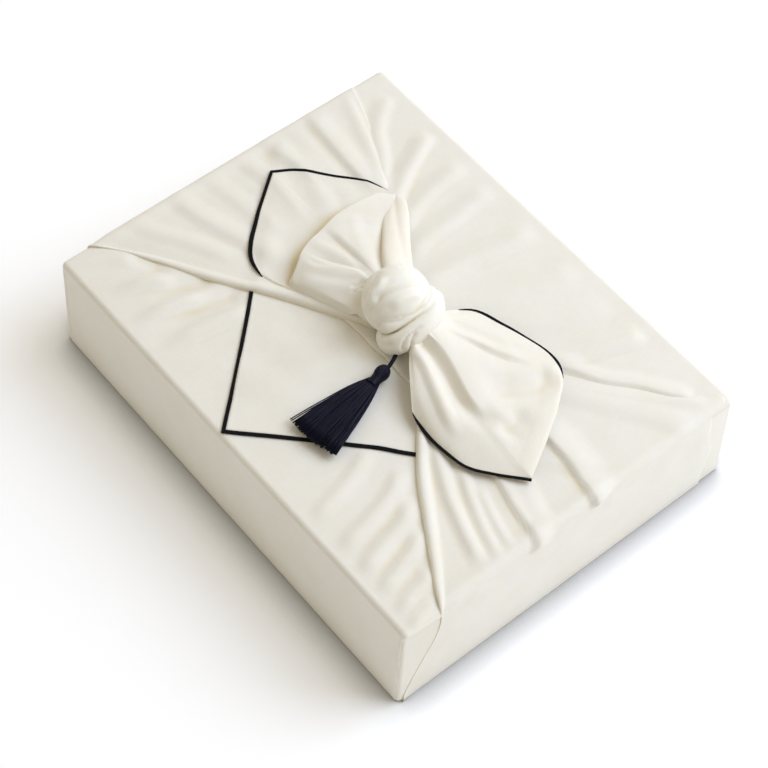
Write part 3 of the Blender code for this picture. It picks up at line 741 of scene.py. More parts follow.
def near_fold():
    """The near fold, from the table up the long face and over the top."""
    s = spaced((-SEAM_AT, SEAM_AT, 2.0))
    over = np.linspace(0, 1, 11)[1:]
    t = spaced(*NEAR_ROWS)
    reach = smooth(NEAR_OVERHANG, t)[:, 0]
    columns = [np.full(len(t), place) for place in s]
    columns = [-SEAM_AT - np.maximum(reach, LEFT_OVERHANG) * o for o in over[::-1]] + columns
    columns += [SEAM_AT + reach * o for o in over]
    s_grid = np.array(columns)
    t_grid = np.broadcast_to(t, s_grid.shape)
    grid = over_box(s_grid, t_grid, LENGTH / 2, WIDTH / 2, NEAR_TOP)
    height = folds(on_flat(s_grid, t_grid), NEAR_FOLDS)
    from_end = SEAM_AT + reach[None] - np.abs(s_grid)
    lip = 0.5 + 0.5 * np.cos(np.pi * np.clip(np.abs(from_end - LIP_IN) / LIP_WIDE, 0, 1))
    lip = LIP_HIGH * lip * ease(s_grid / 9)
    height += lip * ease((-LIP_FROM - t_grid) / 16) * ease((t_grid + FACE_FROM) / 4)
    down_corner = ease((-FACE_FROM - t_grid) / 3) * ease((t_grid + SEAM_TO) / 8)
    height += SEAM_BEAD * ease((s_grid - SEAM_AT + 5) / 4) * down_corner
    grid = raised(grid, height)
    grid[..., 0] += SEAM_OUT * ease((s_grid - 160) / 16) * ease((-140 - t_grid) / 12)
    keep = above_corner(s_grid, t_grid < -FACE_FROM)
    return cloth_sheet("near_fold", grid, np.stack([s_grid, t_grid], axis=-1), cotton, keep=keep)


near = near_fold()
declare(near, (0.37, 0.27))

# %% [markdown]
# ## The far fold
#
# The far side comes over next. It ends in the cloth's own corner, a right angle that reaches
# the near edge of the top. Its folds fan out from the knot to the far edge.

# %% Far fold's tables
FAR_TOP = 86.3
FAR_BEND = 131  # where the rows along its corner's two edges end and the straight ones begin
FAR_ROWS = ((FAR_BEND, 147, 1.0), (147, 217, 5.0), (217, 224, 1.0))
V_TIP = (-4.6, -133.3)
V_BOW = (
    # x, how far the tip's edge strays from a straight line (mm)
    (-190, 4.7), (-81, 4.7), (-64, 4.4), (-47, 3.5), (-31, 2.4), (-20, 1.5), (-10, 0.4),
    (-4.6, 0.0), (20, 0.0), (40, -0.6), (58, -1.2), (66, -1.5), (71, -2.4), (76, -3.5), (81, -4.3),
    (90, -5.0), (190, -5.0),
)
FAR_FOLDS = (
    (((-86, 62), (-115, 87), (-136, 100), (-153, 121), (-157, 128)), 1.8, 12, 8, 12, 12),
    (((-70, 58), (-86, 78), (-101, 105), (-109, 122), (-110, 129)), 2.7, 13, 8, 18, 12),
    (((-54, 52), (-66, 74), (-73, 99), (-75, 120), (-76, 129)), 2.0, 12, 9, 20, 14),
    (((-34, 40), (-41, 57), (-44, 90), (-47, 119), (-46, 130)), 2.0, 13, 10, 20, 14),
    (((-8, 26), (-13, 46), (-12, 71), (-7, 96), (-2, 130)), 2.2, 15, 12, 24, 16),
    (((12, 34), (26, 68), (30, 85), (35, 104), (42, 130)), 1.3, 17, 14, 26, 16),
    (((36, 40), (50, 66), (62, 92), (72, 116), (76, 129)), 1.1, 16, 14, 26, 16),
    (((66, 48), (88, 72), (97, 97), (105, 118), (108, 129)), 2.2, 15, 9, 26, 12),
    (((82, 58), (97, 70), (116, 80), (134, 96), (157, 112), (164, 121)), 2.4, 13, 4, 16, 12),
    (((84, 50), (103, 59), (124, 64), (148, 72)), 0.9, 8, 8, 16, 20),
    (((-60, -70), (-20, -60), (10, -62)), 1.1, 22, 22, 20, 20),
    (((-50, -104), (-20, -90), (16, -86)), 0.7, 20, 20, 20, 20),
    (((-22, -118), (-8, -60), (8, -24)), 0.9, 14, 18, 20, 20),
)

print("the far fold has", len(FAR_FOLDS), "folds")


# %% Far fold
def flap_edge_at(x):
    """Where the far fold's edge runs: down to its corner and up again, with a little slack."""
    return V_TIP[1] + np.abs(x - V_TIP[0]) + smooth(V_BOW, np.ravel(x))[:, 0].reshape(np.shape(x))


def far_fold():
    """The far fold, from its corner over the top and down to the table."""
    inner = spaced((-SEAM_AT, SEAM_AT, 2.0))
    inner = np.array(sorted(set(np.round(np.append(inner, V_TIP[0]), 3))))
    over = np.linspace(0, 1, 7)[1:] * 8.4
    s = np.concatenate([-SEAM_AT - over[::-1], inner, SEAM_AT + over])
    start = flap_edge_at(s)
    share = np.linspace(0, 1, 96)
    rows = [start + (FAR_BEND - start) * r for r in share[:-1]]
    rows += [np.full(len(s), row) for row in spaced(*FAR_ROWS)]
    t_grid = np.array(rows).T
    s_grid = np.broadcast_to(s[:, None], t_grid.shape).copy()
    grid = over_box(s_grid, t_grid, LENGTH / 2, WIDTH / 2, FAR_TOP)
    grid = raised(grid, folds(on_flat(s_grid, t_grid), FAR_FOLDS))
    keep = above_corner(s_grid, t_grid > FACE_FROM)
    return cloth_sheet("far_fold", grid, np.stack([s_grid, t_grid], axis=-1), cotton, keep=keep)


far = far_fold()
print("far fold", round(area_of(far), 4), "m2")

# %% [markdown]
# ## The two end folds
#
# The short ends come up last and run to the knot, gathered tight there and spread wide over the
# short edges. Each near edge is rolled under into a soft tube. Each fold is measured along the
# cloth from the middle of the parcel, so it carries on down over the edge.

# %% End folds' tables
END_TOP = 87.6
DROOP = 1.2  # how far it sags where it leaves the far fold's edge
UNDER_ROLL = 1.9  # how deep its rolled edge goes
ROLL_LEAST = 0.9  # the least depth of that edge
END_OUT = 0.6  # how far its face stands out from the box's end
FACE_SINK = 0.6  # how far its far edge settles into the end face
END_FLAT = (256, 8)  # where its folds die away, near the table
TURNED_PAINTED_SHADE = 1.1  # how deep in a hollow its turned edge counts
END_ACROSS = 104  # grid lines along it
END_ROWS = (
    # grid lines across it from where it nears the top's edge: from, to, spacing
    (160, 196, 0.9), (196, 256, 2.4), (256, 266.6, 0.8),
)
LEFT_END = (
    # distance from the middle, near edge y, far edge y, rise towards the knot, roll size,
    # how far the near edge is set down
    (6, -9.5, 20, 6, 1.3, 0), (20, -17.6, 28, 3.4, 1.25, 0), (38, -27.8, 40, 1.4, 1.2, 0),
    (60, -40.6, 57, 0.4, 1.15, 0), (86, -57, 73.5, 0, 0.95, 0.2), (110, -72, 83.5, 0, 0.8, 0.7),
    (140, -88, 97, 0, 0.5, 1.4), (168, -106, 108, 0, 0.25, 1.6), (178, -115, 111, 0, 0.18, 1.0),
    (190, -117, 113, 0, 0.14, 0.5), (215, -121, 117, 0, 0.14, 0.8), (240, -128, 126, 0, 0.14, 0.8),
    (270, -134, 134, 0, 0.14, 0.8),
)
RIGHT_END = (
    (14, -5, 22, 7, 1.1, 0), (32, -7, 28, 4, 1.1, 0), (50, -17.5, 37, 1.5, 1.1, 0),
    (72, -38.5, 50, 0.6, 1.1, 0), (99, -61, 65, 0, 1.1, 0), (124, -77, 87, 0, 1.05, 0),
    (150, -93, 110, 0, 0.9, 0.1), (172, -106, 131.5, 0, 0.6, 0.5),
    (178, -108.6, 132.5, 0, 0.4, 0.7), (184, -109.5, 120.5, 0, 0.2, 0.6),
    (190, -108.8, 120.8, 0, 0.14, 0.4), (210, -112.3, 122.5, 0, 0.14, 0.8),
    (230, -122.6, 127, 0, 0.14, 0.8), (247, -131, 122, 0, 0.14, 0.8),
    (262, -136.8, 121, 0, 0.14, 0.8), (270, -137, 121, 0, 0.14, 0.8),
)
ROLL = (
    # how far in from the edge, height over the fold's own level; it starts tucked under
    (1.2, -1.25), (0.4, -1.2), (0.0, -0.9), (-0.15, -0.4), (0.0, 0.5), (0.7, 1.7), (1.9, 2.6),
    (3.6, 3.0), (5.6, 2.8), (7.6, 1.9), (9.4, 0.8), (11.2, 0.1), (13.5, 0.0),
)
LEFT_FOLDS = (
    (((-84, 66), (-120, 83), (-150, 94), (-180, 104)), 1.2, 9, 5, 14, 20),
    (((-86, 62), (-107, 64), (-134, 66), (-158, 68), (-184, 71)), 2.3, 6, 16, 22, 22),
    (((-96, 48), (-130, 49), (-156, 51), (-182, 51)), 0.9, 10, 11, 30, 22),
    (((-92, 26), (-120, 33), (-144, 37), (-164, 34), (-184, 31)), 2.2, 8, 15, 30, 22),
    (((-92, 8), (-120, 12), (-145, 14), (-166, 10), (-182, 6)), 1.5, 8, 13, 30, 22),
    (((-90, -6), (-120, -10), (-145, -14), (-170, -18), (-184, -20)), 1.1, 9, 12, 30, 22),
    (((-80, -18), (-100, -26), (-125, -34), (-150, -42), (-184, -48)), 1.9, 9, 14, 24, 22),
    (((-100, -42), (-140, -62), (-170, -80), (-182, -85)), 1.5, 9, 11, 26, 22),
)
RIGHT_FOLDS = (
    (((80, -32), (100, -43), (122, -54), (145, -62), (176, -71)), 2.6, 9, 7, 22, 18),
    (((104, -30), (127, -42), (147, -50), (166, -56), (180, -60)), 1.9, 7, 6, 20, 18),
    (((122, -33), (150, -42), (166, -46), (179, -49)), 1.2, 6, 5, 18, 16),
    (((88, -10), (112, -17), (135, -22), (155, -27), (170, -29), (184, -32), (191, -36)),
     2.7, 17, 3.6, 40, 9),
    (((112, -4), (138, -8), (157, -14), (171, -17), (182, -18)), 1.3, 9, 9, 24, 16),
    (((92, 18), (112, 22), (132, 23), (150, 22), (168, 19), (182, 17), (191, 20)),
     3.1, 22, 3.6, 40, 9),
    (((190, 26), (198, 34), (201, 52)), 0.8, 9, 8, 8, 14),
    (((90, 44), (124, 64), (150, 82), (186, 103)), 1.2, 15, 12, 24, 18),
    (((84, 52), (112, 72), (140, 94), (176, 124)), 0.7, 9, 9, 20, 14),
    (((186, -90), (200, -70), (215, -60)), 0.8, 14, 14, 10, 16),
    (((196, 70), (208, 84), (222, 96)), 0.7, 16, 16, 12, 18),
    (((200, -10), (214, 0), (230, 20)), 0.6, 16, 16, 12, 18),
)

TIE_FROM, TIE_TO = -34.0, 64.0
TIE_TOP = 87.5
TIE_EDGE = (
    # x, y of the folded edge
    (-34, -20.8), (-22, -20.4), (-6, -19.8), (6, -20.1), (19, -18.8), (30, -19.6), (43, -19.2),
    (64, -19.0),
)
TIE_ROLL = (
    # how far back from the folded edge, height over the layer's own level
    (1.6, -0.9), (0.7, -0.85), (0.1, -0.4), (0.0, 0.1), (0.2, 0.6), (0.7, 0.95), (1.4, 1.1),
    (2.4, 1.05), (3.6, 0.8), (5.2, 0.4),
)

print("folds on the left and right:", len(LEFT_FOLDS), len(RIGHT_FOLDS))


# %% End folds
def end_fold(name, sign, table, crests, edge, sink):
    """One end fold. sink is how far its far edge settles into the cloth below."""
    first = table[0][0]
    s = spaced((first, 160, 1.8), *END_ROWS)
    near, far, rise, size, set_down = smooth(table, s).T
    roll = np.array(ROLL)
    roll_at = smooth(np.column_stack([np.linspace(0, 1, len(roll)), roll]), np.linspace(0, 1, 23))
    inner = np.linspace(0, 1, END_ACROSS)[1:]
    start = near[None] + roll_at[-1, 0] * size[None]
    t_grid = np.concatenate([near[None] + roll_at[:, :1] * size[None],
                             start + (far[None] - start) * inner[:, None]])
    under = np.maximum(ROLL_LEAST, UNDER_ROLL + rise - set_down - 0.9 * ease((s - 172) / 10))
    high = roll_at[:, 1:]
    roll_high = high * np.where(high < 0, under[None], size[None])
    lift = np.concatenate([roll_high, np.zeros((len(inner), len(s)))])
    s_grid = np.broadcast_to(s, t_grid.shape)
    face = over_box(s_grid, np.zeros_like(t_grid), LENGTH / 2 + END_OUT, WIDTH, END_TOP, edge)
    face[..., 1] = t_grid
    face[..., 2] += rise[None]
    flap_edge = flap_edge_at(sign * s_grid)
    droop = DROOP * ease((flap_edge - t_grid) / 16 + 0.5) * (1 - ease((s_grid - 166) / 10))
    from_far = far[None] - t_grid
    height = lift + folds(on_flat(sign * s_grid, t_grid), crests) - droop
    height -= sink * (1 - ease(from_far / 14)) * (1 - ease((s_grid - 168) / 8))
    height -= FACE_SINK * (1 - ease(from_far / 10)) * ease((s_grid - 176) / 8)
    height -= set_down[None] * (1 - ease((t_grid - near[None]) / 18))
    height *= 1 - ease((s_grid - END_FLAT[0]) / END_FLAT[1])
    plain = face.copy()
    plain[..., 1] = near[None] + (far - near)[None] * np.linspace(0, 1, len(face))[:, None]
    grid = raised(face, height, plain=plain)
    grid[..., 0] *= sign
    on_cloth = np.stack([s_grid * sign, t_grid], axis=-1)
    # Painted shade along the turned-under edge.
    turned = TURNED_PAINTED_SHADE * (1 - ease((t_grid - near[None] - 0.2) / 1.0))
    return cloth_sheet(name, grid, on_cloth, cotton, shade=turned)


def tie_layer():
    """The end folds' cloth where it runs on flat under the knot, as far as its own folded edge."""
    x = np.linspace(TIE_FROM, TIE_TO, 40)
    level = np.linspace(7.5, 30, 12)
    back, high = np.vstack([TIE_ROLL, np.column_stack([level, 0 * level])]).T
    near_edge = smooth(TIE_EDGE, x)[:, 0]
    grid = np.empty((len(x), len(back), 3))
    grid[..., 0] = x[:, None]
    grid[..., 1] = near_edge[:, None] + back
    grid[..., 2] = TIE_TOP + high
    return cloth_sheet("tie_layer", grid, np.stack([grid[..., 0], grid[..., 1]], axis=-1), cotton)


left_end = end_fold("left_end_fold", -1, LEFT_END, LEFT_FOLDS, 5.0, 0.3)
declare(left_end, (0.26, 0.20))
right_end = end_fold("right_end_fold", 1, RIGHT_END, RIGHT_FOLDS, 6.5, 1.7)
declare(right_end, (0.26, 0.20))
tie = tie_layer()
declare(tie, (0.098, 0.032))

# %% [markdown]
# ## What the tails lie on
#
# The tails lie on the folds, so a small tool reads how high the cloth below stands at a place.


# %% Reading the ground
def ground_under(*things):
    """A function that reads how high the highest of some pieces stands at x, y (mm)."""
    trees = [BVHTree.FromObject(t, bpy.context.evaluated_depsgraph_get()) for t in things]

    def highest(x, y):
        best = 0.0
        for tree in trees:
            hit = tree.ray_cast(Vector((x * MM, y * MM, 0.3)), Vector((0, 0, -1)))[0]
            if hit is not None:
                best = max(best, hit.z / MM)
        return best

    return np.vectorize(highest)


bpy.context.view_layer.update()
ground = ground_under(near, far, left_end, right_end)
print("the cloth stands at", ground(-100.0, 20.0), "mm beside the knot")


# %% Fan a tail out
def bowed(start, half, rim, run):
    """A grid of curves from start through half to rim, read at shares run of the way."""
    weights = ((1 - run) * (1 - 2 * run), 4 * run * (1 - run), run * (2 * run - 1))
    return sum(w[None, :, None] * line[:, None] for w, line in zip(weights, (start, half, rim)))


def fan_out(throat, belly, rim_parts, across, along):
    """A grid from where a tail leaves the knot, through its belly, to its free edge."""
    shares = set(np.round(np.linspace(0, 1, across), 4)) | {part[-1][0] for part in rim_parts[:-1]}
    shares = np.array(sorted(shares))
    rim = np.zeros((len(shares), 3))
    for part in rim_parts:
        inside = (shares >= part[0][0] - 1e-9) & (shares <= part[-1][0] + 1e-9)
        rim[inside] = smooth(part, shares[inside])
    run = np.linspace(0, 1, along) ** 0.9
    return bowed(smooth(throat, shares), smooth(belly, shares), rim, run), shares


def settle(grid, ground, clear, soften=3):
    """Lift a grid off whatever lies under it, softly."""
    floor = ground(grid[..., 0], grid[..., 1]) + clear
    lifted = np.maximum(grid[..., 2], floor)
    lifted = np.maximum(blur(lifted - grid[..., 2], soften) + grid[..., 2], floor)
    grid = grid.copy()
    grid[..., 2] = lifted
    return grid


def along_cloth(grid):
    """Each point's place on the flat cloth, from the lengths of the grid's own lines."""
    u = np.cumsum(np.concatenate([np.zeros((1, grid.shape[1])),
                                  np.linalg.norm(np.diff(grid, axis=0), axis=2)]), axis=0)
    v = np.cumsum(np.concatenate([np.zeros((grid.shape[0], 1)),
                                  np.linalg.norm(np.diff(grid, axis=1), axis=2)], axis=1), axis=1)
    return np.stack([u, v], axis=-1)


print("blurred step:", blur(np.array([[0.0, 0, 4, 4]]), 1).round(2))

# %% [markdown]
# ## The left tail
#
# The left tail is one sheet. It leaves the knot upwards, spreads into a fan of deep folds, and
# turns down over a rounded rim to lie flat as far as its bound edge.

# %% Left tail's tables
LEFT_CORNER = 0.70  # share of the way round at which the left tail's corner comes
PANEL_LOWER = (
    # share of the way round, x, y, z of the free edge
    (0.00, -38, -25.5, 92.5), (0.08, -57, -31.8, 92), (0.16, -71, -37, 92), (0.24, -84, -41, 92),
    (0.31, -93, -40.1, 92), (0.38, -102.4, -36.5, 92), (0.46, -110.9, -29.5, 92),
    (0.54, -121, -18.6, 92), (0.62, -133.6, -4.1, 92), (0.70, -150, 17.5, 92),
)
PANEL_UPPER = (
    (0.70, -150, 17.5, 92), (0.76, -143, 29.3, 92), (0.82, -131, 39.6, 92),
    (0.86, -120.8, 48.6, 92), (0.90, -110.5, 58.3, 92.5), (0.96, -94, 67.8, 93),
    (1.00, -82, 72, 94),
)
LEFT_RIM = (
    # share, x, y, z of the rim that the fan turns down over
    (0.00, -36, -23.5, 95), (0.08, -53, -28.5, 95.5), (0.16, -63, -31, 95.5),
    (0.24, -67, -29.5, 96.5), (0.31, -69, -26, 98.5), (0.38, -72, -20.8, 101.2),
    (0.46, -76.3, -14.8, 103.0), (0.54, -80, -5, 103.4), (0.62, -82.3, 7, 103.6),
    (0.70, -85.5, 19.5, 103.6), (0.76, -86.5, 28, 103.2), (0.82, -86.8, 37, 102.4),
    (0.90, -86.8, 50, 100.2), (0.96, -85.5, 60, 97.8), (1.00, -79, 68, 96),
)
LEFT_THROAT = (
    (0.00, -6, -13, 95), (0.16, -10, -12, 99), (0.40, -14, -4, 106), (0.62, -16, 7, 110),
    (0.80, -14, 18, 110), (1.00, -8, 27, 106),
)
LEFT_BELLY = (
    (0.00, -22, -18, 99), (0.16, -38, -20, 100.5), (0.31, -45, -11, 103.6), (0.54, -49, -2, 105.4),
    (0.70, -52, 9, 106), (0.82, -52, 23, 105), (1.00, -42, 47, 103),
)
LEFT_TAIL_FOLDS = (
    (((-24, 9), (-40, 10.8), (-52, 12.3), (-63, 12.8), (-72, 12.5), (-80, 12.6), (-88, 11)),
     1.8, 6.5, 22, 8, 22),
    (((-26, 8), (-39, 8), (-52, 8), (-63, 8), (-73, 7.6), (-84, 6)), -1.0, 8, 5, 6, 24),
    (((-26, 6.5), (-43, 4.6), (-55, 2.1), (-67, -0.9), (-82, -6)), 0.8, 7, 6, 10, 10),
    (((-26, 5), (-40.6, 2.9), (-50, -0.6), (-58, -5.4), (-67, -9.8), (-80, -13.5)),
     -1.5, 4.2, 10, 6, 26),
    (((-24, 4), (-38, 0.8), (-46, -3.9), (-53, -10.8), (-60, -16.7), (-68, -18.8), (-78, -17)),
     1.5, 18, 5, 6, 20),
    (((-24, 1), (-40, -8.4), (-49, -15.6), (-58.6, -22), (-67, -26)), -0.5, 6, 6, 6, 22),
    (((-24, -2), (-36, -11.6), (-46, -19), (-56.6, -25), (-64, -30)), 1.0, 8, 7, 8, 8),
    (((-26, 2), (-29.7, -1.6), (-31.1, -6.1), (-33.1, -10)), -2.0, 3.0, 2.8, 2, 5),
    (((-24, -1), (-27.8, -4.5), (-29, -9.2), (-30, -12.5)), -2.0, 3.0, 2.8, 2, 5),
    (((-24, 11), (-40, 22.8), (-50.7, 32.5), (-63.6, 44.6), (-77, 58)), -1.3, 9, 4.6, 6, 34),
    (((-28, 10), (-49, 15.6), (-66, 23.8), (-82, 33)), 0.6, 8, 8, 12, 8),
)
PANEL_FOLDS = (
    (((-84, -34), (-104, -22), (-124, -8)), 0.9, 12, 14, 10, 20),
    (((-94, 24), (-112, 28), (-136, 30)), 0.9, 14, 14, 10, 20),
    (((-92, 46), (-108, 46), (-120, 42)), 0.6, 10, 10, 8, 14),
)
FOOT_CLEAR, PANEL_CLEAR, LEFT_CLEAR = 1.5, 1.4, 1.3  # how far it keeps off the cloth below
RIM_DROP = 3.6  # how far out from the rim its turned-down side reaches
LOOSE_EDGE = 5.0  # how wide a strip beside the knot bends down to the cloth below
LOOSE_SHARE = 0.09
TURNED_UNDER = 0.6
KNOT_MIDDLE = np.array((0.0, 5.0))
KNOT_ROUND, KNOT_CLEAR = 26, 8  # radius of the knot, and how far outside it is well clear


# %% Left tail
def run_past_knot(grid):
    """0 inside the knot, 1 from a few millimetres outside it."""
    away = np.linalg.norm(grid[..., :2] - KNOT_MIDDLE, axis=2)
    return np.clip((away - KNOT_ROUND) / KNOT_CLEAR, 0, 1)


def left_tail():
    """The left tail: a fan up to its rim, a turned-down side, and a panel out to its edge."""
    shares = np.array(sorted(set(np.round(np.linspace(0, 1, 150), 4)) | {LEFT_CORNER}))
    lower, upper = smooth(PANEL_LOWER, shares), smooth(PANEL_UPPER, shares)
    edge = np.where(shares[:, None] <= LEFT_CORNER, lower, upper)
    rim, start, half = (smooth(table, shares) for table in (LEFT_RIM, LEFT_THROAT, LEFT_BELLY))
    fan = bowed(start, half, rim, np.linspace(0, 1, 84) ** 0.92)
    fan[..., 2] += folds(on_flat(fan[..., 0], fan[..., 1]), LEFT_TAIL_FOLDS)
    away = edge - rim
    away[:, 2] = 0
    reach = np.linalg.norm(away, axis=1)
    drop = np.minimum(RIM_DROP, 0.45 * reach)
    foot = rim + away / reach[:, None] * drop[:, None]
    floor = ground(foot[:, 0], foot[:, 1]) + FOOT_CLEAR
    down = np.linspace(0, 1, 9)[1:]
    rows = []
    for part in down:
        row = fan[:, -1] + (foot - rim) * part
        row[:, 2] = floor + (fan[:, -1, 2] - floor) * (1 - ease(part))
        rows.append(row)
    for part in np.linspace(0, 1, 34)[1:]:
        row = foot + (edge - foot) * part
        row[:, 2] = ground(row[:, 0], row[:, 1]) + PANEL_CLEAR
        rows.append(row)
    grid = np.concatenate([fan, np.stack(rows, axis=1)], axis=1)
    flat = grid[:, fan.shape[1]:].copy()
    flat[..., 2] = 0
    swell = folds(flat, PANEL_FOLDS)
    panel = fan.shape[1] + len(down)
    grid[:, panel:, 2] = blur(grid[:, panel:, 2], 40)
    grid[:, fan.shape[1]:, 2] += swell
    grid = settle(grid, ground, LEFT_CLEAR, 5)
    from_edge = np.linalg.norm(grid - grid[:, -1:], axis=2)
    loose = 1 - ease((shares - 0.22) / 0.06)
    end = grid[:, -1]
    gap = end[:, 2] - ground(end[:, 0], end[:, 1]) + TURNED_UNDER
    grid[..., 2] -= (gap * loose)[:, None] * np.clip(1 - from_edge / LOOSE_EDGE, 0, 1) ** 2
    beside = np.clip(1 - shares / LOOSE_SHARE, 0, 1)[:, None] ** 2 * ease(run_past_knot(grid))
    grid[..., 2] -= beside * (grid[..., 2] - ground(grid[..., 0], grid[..., 1]) + TURNED_UNDER)
    sheet = cloth_sheet("left_tail", grid, along_cloth(grid), cotton, core=(-60, 10, 20))
    return sheet, shares, grid[:, -1]


left_cloth, left_shares, left_edge = left_tail()
print("left tail", round(area_of(left_cloth), 4), "m2")

# %% [markdown]
# ## A tool for straps and wraps
#
# The strap and the knot's wraps are cloth folded round itself into a flattened tube. A tube is
# swept along its line, and grooves along it show where the cloth is gathered.


# %% Sweep a folded strap
def ring_faces(rings, sides, first=0):
    """The faces between rings of points that lie one after another, from point number first."""
    faces = []
    for i in range(rings - 1):
        a, b = first + i * sides, first + (i + 1) * sides
        faces += [(a + k, a + (k + 1) % sides, b + (k + 1) % sides, b + k) for k in range(sides)]
    return faces


def close_ends(work):
    bmesh.ops.holes_fill(work, edges=[e for e in work.edges if e.is_boundary], sides=0)
    bmesh.ops.triangulate(work, faces=[f for f in work.faces if len(f.verts) > 4])


def strap(name, table, outward, grooves, steps, sides, material, full=2.0):
    """A flattened tube. table has share, x, y, z, half-width, half-thickness (mm).

    outward is the way its outer face looks, or a row of them, one for each step. grooves has
    rows of place round the tube, change of place along it, depth, width (turns). full is how
    full its section is: 2 is an oval, and more is squarer.
    """
    share = np.linspace(table[0][0], table[-1][0], steps)
    read = smooth(table, share)
    line, half_wide, half_thick = read[:, :3], read[:, 3], read[:, 4]
    ahead = np.gradient(line, axis=0)
    ahead /= np.linalg.norm(ahead, axis=1, keepdims=True)
    out = np.broadcast_to(np.array(outward, float), line.shape)
    out = out - ahead * (out * ahead).sum(axis=1, keepdims=True)
    out /= np.linalg.norm(out, axis=1, keepdims=True)
    side = np.cross(ahead, out)
    turn = np.linspace(0, 1, sides + 1)
    angle = 2 * math.pi * turn
    wide = np.sign(np.cos(angle)) * np.abs(np.cos(angle)) ** (2 / full)
    high = np.sign(np.sin(angle)) * np.abs(np.sin(angle)) ** (2 / full)
    along = (share - share[0]) / (share[-1] - share[0])
    dent = np.zeros((steps, sides + 1))
    for place, drift, depth, width in grooves:
        off = (turn[None] - place - drift * along[:, None] + 0.5) % 1 - 0.5
        dent += depth * np.exp(-(off / width) ** 2)
    rings = line[:, None] + side[:, None] * (wide[None] * half_wide[:, None])[..., None]
    rings = rings + out[:, None] * (high[None] * half_thick[:, None])[..., None]
    inwards = line[:, None] - rings
    inwards /= np.linalg.norm(inwards, axis=2, keepdims=True)
    rings = rings + inwards * dent[..., None]
    on_cloth = along_cloth(rings)
    places = []
    for i in range(steps - 1):
        for k in range(sides):
            places += [*on_cloth[i, k:k + 2], *on_cloth[i + 1, k:k + 2][::-1]]
    made = build_piece(name, rings[:, :-1], ring_faces(steps, sides), places, material)
    middle = Vector(line[steps // 2] * MM)
    probe = made.data.polygons[(steps // 2) * sides]
    if (probe.center - middle).dot(probe.normal) < 0:
        made.data.flip_normals()
    rework(made, close_ends)
    return made


print("faces in a tube of 3 rings of 4 points:", len(ring_faces(3, 4)))

# %% Left tail's strap
STRAP_LINE = (
    # share, x, y, z, half-width, half-thickness
    (0.00, -11, 17, 105, 9.0, 7), (0.14, -21, 22.5, 107.3, 10, 5.6),
    (0.35, -32.5, 30.5, 106.8, 10.2, 4.4), (0.55, -44.5, 40, 104.2, 9.4, 3.8),
    (0.75, -57, 50, 101.2, 9.0, 3.2), (0.90, -68, 59, 97.9, 8.2, 2.4),
    (0.97, -75.5, 64.5, 95.9, 6.6, 1.8), (1.00, -79.5, 67, 94.8, 3.0, 0.9),
)
# Which way its outer face looks: a little to the right at the knot, to the left at its end.
STRAP_AT_KNOT, STRAP_AT_END = (0.35, 0.10, 1.0), (-0.04, -0.16, 1.0)
STRAP_GROOVES = (
    # place round the strap, drift along it, depth, width
    (0.16, 0.10, 0.7, 0.045),
)
STRAP_STEPS, STRAP_SIDES = 60, 64
STRAP_SQUARE = 2.3  # 2 is an oval, and more is squarer
turned = ease(np.linspace(-0.3, 1, STRAP_STEPS))[:, None]
strap_looks = np.array(STRAP_AT_KNOT) * (1 - turned) + np.array(STRAP_AT_END) * turned
left_strap = strap("left_tail_strap", STRAP_LINE, strap_looks, STRAP_GROOVES, STRAP_STEPS,
                   STRAP_SIDES, cotton, STRAP_SQUARE)
declare(left_strap, (0.075, 0.035))

# %% [markdown]
# ## The right tail
#
# The right tail spreads flat from the knot to the cloth's corner. Deep folds start at the knot
# and open out towards the hem.

# %% Right tail's tables
RIGHT_LOWER = (
    (0.00, 62, -34.5, 95.5), (0.04, 65.2, -35.4, 94), (0.12, 82.3, -36.6, 92),
    (0.22, 97.6, -35.7, 91.5), (0.33, 114.8, -32.1, 91.2), (0.42, 128, -23.1, 91.5),
    (0.54, 146.8, -7.3, 92.5),
)
RIGHT_UPPER = (
    (0.54, 146.8, -7.3, 92.5), (0.64, 132.7, 17.7, 95.5), (0.73, 116, 43.3, 98),
    (0.79, 103.7, 56.7, 98.4), (0.85, 84, 62.7, 96), (0.90, 64, 60.1, 94), (0.94, 45, 55.2, 92.5),
    (0.975, 25, 47.5, 92.5), (1.00, 15.5, 35.5, 92.5),
)
RIGHT_THROAT = ((0.0, 27, -8, 100), (0.35, 22, -1, 107), (0.7, 20, 9, 109), (1.0, 17, 22, 104))
RIGHT_BELLY = (
    (0.00, 44, -22, 102), (0.12, 53, -23, 103), (0.33, 68, -18, 103), (0.54, 84, -5, 102),
    (0.73, 70, 24, 103), (0.85, 52, 42, 100), (1.00, 20, 37, 98),
)
